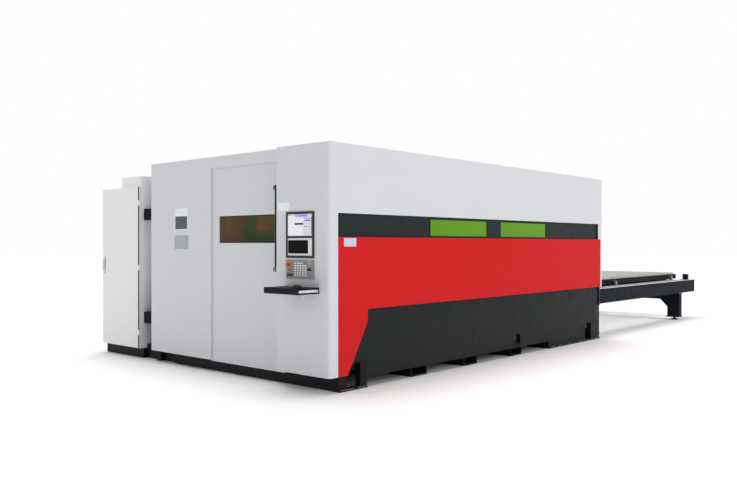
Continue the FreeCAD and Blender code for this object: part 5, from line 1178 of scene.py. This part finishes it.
class LASER_OT_tray_fittings(Operator):
    """Hollow sleeve of the keyboard tray, its keyboard and hooks, and the mouse"""

    bl_idname = "laser.tray_fittings"
    bl_label = "Tray fittings"

    def execute(self, context):
        low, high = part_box("keyboard_tray")
        floor, roof = low.z + TRAY_SKIN, high.z - TRAY_SKIN
        inner, back = low.x + TRAY_LIP, high.x - TRAY_LIP
        mesh = bmesh.new()
        for base, top in ((low.z, floor), (roof, high.z)):
            block(mesh, (inner, low.y, base), (high.x, high.y, top), 0.0008)
        block(mesh, low, (inner, high.y, high.z), 0.0008)
        block(mesh, (inner, high.y - TRAY_LIP, floor), (high.x, high.y, roof), 0.0005)
        cheek = 0.020
        for y in (low.y, high.y - cheek - TRAY_LIP):
            block(mesh, (back, y, floor), (high.x, y + cheek, roof), 0.0005)
        front, bead = drawn_in(front_of("keyboard_tray"), 0.012, 0.008), 0.0008
        border(mesh, "-x", low.x + bead, front, 0.0015, bead, 0.003, base=-bead)
        piece("keyboard_tray_sleeve", mesh, "black", replaces=("keyboard_tray",))
        mesh = bmesh.new()
        block(mesh, (low.x + 0.016, low.y + 0.002, floor),
              (high.x - 0.010, high.y - 0.030, roof - 0.003), 0.003, 3)
        piece("pale_keyboard", mesh, "keyboard")

        mesh = bmesh.new()
        for x, y, reach in ((low.x + 0.012, FRONT_HOOK, 1.0), (SIDE_HOOK, low.y + 0.008, 0.8)):
            tube(mesh, [(x + out, y + side, low.z + drop) for out, side, drop in (
                (0, 0, 0.001), (0, 0, -0.018 * reach), (-0.003, 0, -0.040 * reach),
                (-0.002, 0.004, -0.060 * reach))], 0.0020)
            washer(mesh, "-z", low.z, (x, y), 0.0020, 0.0075, 0.006, 20)
        piece("tray_hooks", mesh, "chrome")

        low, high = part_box("mouse")
        mid = (low + high) / 2
        mesh = bmesh.new()
        loops(mesh, mouse_rings(low, high))
        wheel_y, wheel_z = mid.y - (high.y - low.y) * 0.15, high.z - 0.0052
        tube(mesh, [(mid.x + out, wheel_y, wheel_z) for out in (-0.004, 0.004)], 0.0055, 16, 1)
        piece("mouse_shell", mesh, "black_plastic rubber", replaces=("mouse",))
        return {"FINISHED"}


class LASER_OT_cabinet_fittings(Operator):
    """Gasket, lever surround, vents and roof slots of the electric cabinet"""

    bl_idname = "laser.cabinet_fittings"
    bl_label = "Cabinet fittings"

    def execute(self, context):
        low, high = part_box("cabinet_shell")
        leaf_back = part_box("cabinet_door")[1].x
        mesh = bmesh.new()
        border(mesh, "-x", leaf_back + 0.002,
               ((NEAR_WALL + 0.006, OPENING_FOOT), (high.y - 0.006, OPENING_TOP)), 0.012, 0.002)
        block(mesh, (low.x + 0.0005, NEAR_WALL - 0.0008, OPENING_FOOT),
              (low.x + 0.0180, NEAR_WALL + 0.0005, OPENING_TOP), 0.0003)
        piece("cabinet_gasket", mesh, "gasket")

        lever_y = control("cabinet_lever")[0][0]
        mesh = bmesh.new()
        border(mesh, "-x", leaf_back - CABINET_LEAF,
               ((lever_y - 0.019, LEVER_FOOT), (lever_y + 0.019, LEVER_TOP)), 0.004, 0.0016, 0.008)
        piece("cabinet_lever_surround", mesh, "black_plastic",
              "cabinet_door_leaf")

        rear, margin, blades = high.x, 0.016, 9
        for index, (y, z) in enumerate(VENT_CORNERS):
            mesh = bmesh.new()
            border(mesh, "+x", rear, ((y, z), (y + VENT_SIZE, z + VENT_SIZE)), 0.018, 0.010, 0.012)
            piece(f"cabinet_vent_frame_{index}", mesh, "grey")
            mesh = bmesh.new()
            block(mesh, (rear, y + margin, z + 0.018),
                  (rear + 0.007, y + VENT_SIZE - margin, z + 0.032), 0.002)
            bmesh.ops.rotate(mesh, cent=Vector((rear, y, z + 0.018)), matrix=BLADE_TURN,
                             verts=mesh.verts)
            ranks(f"cabinet_vent_blades_{index}", mesh, "grey", "grey_paint", blades,
                  (0, 0, 0.0245))

        low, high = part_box("cabinet_roof_unit")
        slots, pitch = 24, 0.0286
        mesh = bmesh.new()
        block(mesh, (low.x + 0.06, high.y - 0.001, low.z + 0.025),
              (low.x + 0.070, high.y + 0.004, high.z - 0.025), 0.0012)
        ranks("roof_unit_slots", mesh, "grey", "grey_paint", slots, (pitch, 0, 0))
        return {"FINISHED"}


# Pallets, table and base

class LASER_OT_pallet_slats(Operator):
    """Dense rows of serrated slats on both pallets"""

    bl_idname = "laser.pallet_slats"
    bl_label = "Pallet slats"

    def execute(self, context):
        sizes = settings("laser_slats")
        for level in ("upper", "lower"):
            low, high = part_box(level + "_pallet_slats")
            teeth = max(int((high.y - low.y) / sizes.tooth), 2)
            margin = (high.y - low.y - teeth * sizes.tooth) / 2
            valley = high.z - sizes.depth
            outline = [(low.y, low.z), (high.y, low.z), (high.y, valley)]
            for index in range(teeth, 0, -1):
                right = low.y + margin + sizes.tooth * index
                outline += [(right, valley), (right - sizes.tooth * 0.38, high.z - 0.001),
                            (right - sizes.tooth * 0.5, high.z),
                            (right - sizes.tooth * 0.62, high.z - 0.001)]
            outline += [(low.y + margin, valley), (low.y, valley)]
            mesh = bmesh.new()
            loops(mesh, [[(x, a, b) for a, b in outline] for x in (low.x, low.x + sizes.thick)])
            bmesh.ops.recalc_face_normals(mesh, faces=mesh.faces)
            slats = int((high.x - low.x) / sizes.pitch) + 1
            step = (high.x - low.x - sizes.thick) / (slats - 1)
            ranks(level + "_slat_rows", mesh, "slat_steel", "slat_steel", slats, (step, 0, 0),
                  body=level + "_pallet", replaces=(level + "_pallet_slats",))
        return {"FINISHED"}


def levelling_foot(mesh, centre):
    """A disc, a threaded screw and a hexagon nut, from the floor up."""
    disc, screw, top = 0.015, 0.020, 0.045
    plate = [(0.056, 0.0), (0.060, 0.003), (0.060, 0.010), (0.054, disc), (0.030, disc + 0.003),
             (0.024, disc + 0.006), (0.0195, disc + 0.007)]
    thread = [(screw * (0.93 if index % 2 else 1.0), disc + 0.008 + index * 0.0015)
              for index in range(9)]
    turned(mesh, "+z", 0.0, centre, plate + thread + [(0.018, top)], 40)
    turned(mesh, "+z", 0.0, centre, [
        (0.026, 0.031), (0.029, 0.033), (0.029, 0.042), (0.026, 0.0448)], 6)


class LASER_OT_table_fittings(Operator):
    """Levelling feet, flange bolts, pale flange edges that are a painted highlight, beam strips
    and wheel rings of the table
    """

    bl_idname = "laser.table_fittings"
    bl_label = "Table fittings"

    def execute(self, context):
        bolt = settings("laser_fasteners").bolt
        low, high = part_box("levelling_feet")
        middles = (low.x + FOOT_REACH, high.x - FOOT_REACH)
        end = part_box("table_frame")[1]
        half = end.y - TABLE_AXIS
        beam_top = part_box("upper_pallet_front_wheels")[0].z - RAIL_THICKNESS
        strip_width, strip_depth, edge, bolt_out = 0.022, 0.005, 0.0006, 0.070

        bolts, feet, edges, strips = [], bmesh.new(), bmesh.new(), bmesh.new()
        for side in (-1, 1):
            outer = TABLE_AXIS + side * half
            skin = sorted((outer, outer - side * strip_width))
            block(strips, (low.x - bolt_out, skin[0], beam_top),
                  (end.x, skin[1], beam_top + strip_depth), 0.001)
            skin = sorted((outer, outer + side * edge))
            for middle in middles:
                levelling_foot(feet, (middle, outer - side * FOOT_PLATE_WIDTH / 2))
                bolts += [(middle + out, outer - side * FOOT_PLATE_WIDTH * (1 - share))
                          for out in (-bolt_out, bolt_out) for share in (0.15, 0.5, 0.85)]
                # Pale strips along the flange edges: painted highlights.
                for foot, top in FLANGE_LEVELS:
                    block(edges, (middle - FLANGE_HALF, skin[0], foot),
                          (middle + FLANGE_HALF, skin[1], top), 0.0002)
        heads("foot_plate_bolts", "+z", FOOT_PLATE_TOP, bolts, bolt * 0.6, 0.008, "bolt_steel",
              "bright_steel", sides=6, crown=0.95)
        piece("levelling_feet_turned", feet, "foot_dark",
              replaces=("levelling_feet",))
        piece("flange_edges", edges, "flange_edge_highlight")
        piece("beam_strips", strips, "rail_strip")

        for name in ("upper_front", "upper_rear", "lower_front", "lower_rear"):
            level, place = name.split("_")
            low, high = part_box(f"{level}_pallet_{place}_wheels")
            centre = ((low.x + high.x) / 2, (low.z + high.z) / 2)
            mesh = bmesh.new()
            for facing, at in (("-y", low.y), ("+y", high.y)):
                washer(mesh, facing, at, centre, 0.0125, 0.0215, 0.0022, 36)
                washer(mesh, facing, at, centre, 0.0300, 0.0330, 0.0008, 36)
            piece(name + "_wheel_rings", mesh, "foot_steel", name + "_wheelset")
        return {"FINISHED"}


class LASER_OT_base_fittings(Operator):
    """Pale edges of the base's bottom plates, painted as highlights"""

    bl_idname = "laser.base_fittings"
    bl_label = "Base fittings"

    def execute(self, context):
        low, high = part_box("base_frame")
        foot, top = SOLE_LEVELS
        wide = 0.004
        mesh = bmesh.new()
        # Pale strips along the plates' edges: painted highlights.
        for start, end in SOLE_SPANS:
            for y in (low.y, high.y - wide):
                block(mesh, (FACE + start, y, foot), (FACE + end, y + wide, top), 0.0004)
        piece("sole_edges", mesh, "sole_edge_highlight")
        return {"FINISHED"}


class LASER_OT_head_fittings(Operator):
    """Turned nozzle, lens drawers and hose fitting of the cutting head"""

    bl_idname = "laser.head_fittings"
    bl_label = "Head fittings"

    def execute(self, context):
        low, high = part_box("nozzle")
        mid, tall = (low + high) / 2, high.z - low.z
        mesh = bmesh.new()
        turned(mesh, "+z", low.z, mid, [(radius, tall * level) for radius, level in (
            (0.0015, 0.0), (0.004, 0.0), (0.0115, 0.22), (0.0118, 0.48), (0.020, 0.52),
            (0.0255, 0.60), (0.0255, 0.70), (0.0235, 0.72), (0.0235, 0.80), (0.0255, 0.82),
            (0.0255, 1.0))], 40)
        piece("nozzle_turned", mesh, "brass", "head", replaces=("nozzle",))

        low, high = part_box("cutting_head")
        mid = (low + high) / 2
        mesh = bmesh.new()
        for level in (low.z + 0.10, low.z + 0.24):
            slab(mesh, "+x", high.x, about((mid.y, level), 0.036, -0.032), 0.006, 0.004, 0.001)
            turned(mesh, "+x", high.x, (mid.y, level),
                   ((0.008, 0.006), (0.008, 0.016), (0.006, 0.018)), 24, 1)
        turned(mesh, "+z", high.z, mid, (
            (0.030, 0.0), (0.030, 0.012), (0.022, 0.016), (0.022, 0.040), (0.012, 0.046),
            (0.012, 0.070)), 32, 1)
        piece("head_drawers", mesh, "cast black_plastic", "head")
        return {"FINISHED"}


# Studio

# The camera, as solved from the photograph's straight edges.
CAMERA_PLACE = (FACE - 4.802, -6.211, 1.341)
CAMERA_TILT, CAMERA_HEADING = math.radians(89.831), math.radians(-48.329)
LENS, SENSOR = 37.28, 36.0
FLOOR_LEVEL = -0.0005

# Each lamp's name, the way it shines and how many degrees of sky it fills.
LAMPS = (
    ("top", (-0.16, -0.11, -0.98), 42),
    ("side", (0.08, 0.90, -0.42), 40),
    ("face", (0.80, -0.45, -0.40), 50),
    ("back", (-0.62, -0.62, -0.48), 50),
)


def floor_paint():
    """Pale matt floor with a breath of texture."""
    floor = Finish("studio floor", 0.9, specular=0.0)
    floor.colour(floor.blend(floor.noise(0.4), (0.90, 0.90, 0.90), (0.915, 0.915, 0.915)))
    return floor.material


def surroundings(strength):
    """A white room: full white where camera, gloss or glass sees it, softer as a light."""
    world = bpy.data.worlds.new("studio")
    world.use_nodes = True
    tree = world.node_tree
    tree.nodes.clear()
    path = tree.nodes.new("ShaderNodeLightPath").outputs
    seen = path["Is Camera Ray"]
    for name in ("Is Glossy Ray", "Is Transmission Ray"):
        either = joined(tree, "ShaderNodeMath", {0: seen, 1: path[name]})
        either.operation = "MAXIMUM"
        seen = either.outputs[0]
    mix = joined(tree, "ShaderNodeMixShader", {"Fac": seen})
    for index, value in ((1, strength), (2, 1.0)):
        light = tree.nodes.new("ShaderNodeBackground")
        light.inputs["Color"].default_value = (1.0, 1.0, 1.0, 1.0)
        light.inputs["Strength"].default_value = value
        tree.links.new(light.outputs["Background"], mix.inputs[index])
    joined(tree, "ShaderNodeOutputWorld", {"Surface": mix.outputs["Shader"]})
    return world


class LASER_OT_stage(Operator):
    """Camera, floor, surrounding light and four soft lamps"""

    bl_idname = "laser.stage"
    bl_label = "Studio"

    def execute(self, context):
        scene = bpy.context.scene
        sizes = settings("laser_stage")
        lens = bpy.data.cameras.new("photo_camera")
        lens.sensor_fit = "HORIZONTAL"
        lens.sensor_width = SENSOR
        lens.lens = LENS
        lens.clip_end = sizes.floor * 4
        camera = linked("photo_camera", lens)
        camera.location = CAMERA_PLACE
        camera.rotation_euler = (CAMERA_TILT, 0.0, CAMERA_HEADING)
        scene.camera = camera

        mesh = bmesh.new()
        mesh.faces.new([mesh.verts.new((a * sizes.floor, b * sizes.floor, FLOOR_LEVEL))
                        for a, b in ((-1, -1), (1, -1), (1, 1), (-1, 1))])
        data = plain_mesh("studio_floor", mesh)
        data.materials.append(floor_paint())
        floor = linked("studio_floor", data)

        scene.world = surroundings(sizes.ambient)
        for name, aim, width in LAMPS:
            light = bpy.data.lights.new(name + "_lamp", "SUN")
            light.energy = getattr(sizes, name + "_light")
            light.angle = math.radians(width)
            lamp = linked(name + "_lamp", light)
            lamp.rotation_mode = "QUATERNION"
            lamp.rotation_quaternion = Vector(aim).to_track_quat("-Z", "Y")
        scene.view_settings.view_transform = "Standard"
        return {"FINISHED"}


# Panel and registration

OPERATORS = (
    LASER_OT_finishes, LASER_OT_window_trims, LASER_OT_plates, LASER_OT_cover_screws,
    LASER_OT_screen_unit, LASER_OT_membrane_keys, LASER_OT_push_buttons,
    LASER_OT_rotary_switches, LASER_OT_tray_fittings, LASER_OT_cabinet_fittings,
    LASER_OT_pallet_slats, LASER_OT_table_fittings, LASER_OT_base_fittings,
    LASER_OT_head_fittings, LASER_OT_stage,
)
GROUPS = {
    "laser_coats": CoatColours, "laser_slats": SlatSizes, "laser_fasteners": FastenerSizes,
    "laser_controls": ControlSizes, "laser_stage": StageSizes,
}


class LASER_PT_panel(Panel):
    """Settings and steps of the machine's looks"""

    bl_label = "Laser Cutter"
    bl_idname = "LASER_PT_panel"
    bl_space_type = "VIEW_3D"
    bl_region_type = "UI"
    bl_category = "Laser Cutter"

    def draw(self, context):
        for name, group in GROUPS.items():
            box = self.layout.box()
            for field in group.__annotations__:
                box.prop(getattr(context.scene, name), field)
        for each in OPERATORS:
            self.layout.operator(each.bl_idname)


CLASSES = (*GROUPS.values(), *OPERATORS, LASER_PT_panel)


def register():
    for each in CLASSES:
        bpy.utils.register_class(each)
    for name, group in GROUPS.items():
        setattr(bpy.types.Scene, name, PointerProperty(type=group))


def unregister():
    for name in GROUPS:
        delattr(bpy.types.Scene, name)
    for each in reversed(CLASSES):
        bpy.utils.unregister_class(each)


def main():
    register()
    for each in OPERATORS:
        space, name = each.bl_idname.split(".")
        getattr(getattr(bpy.ops, space), name)()


if __name__ == "__main__":
    main()
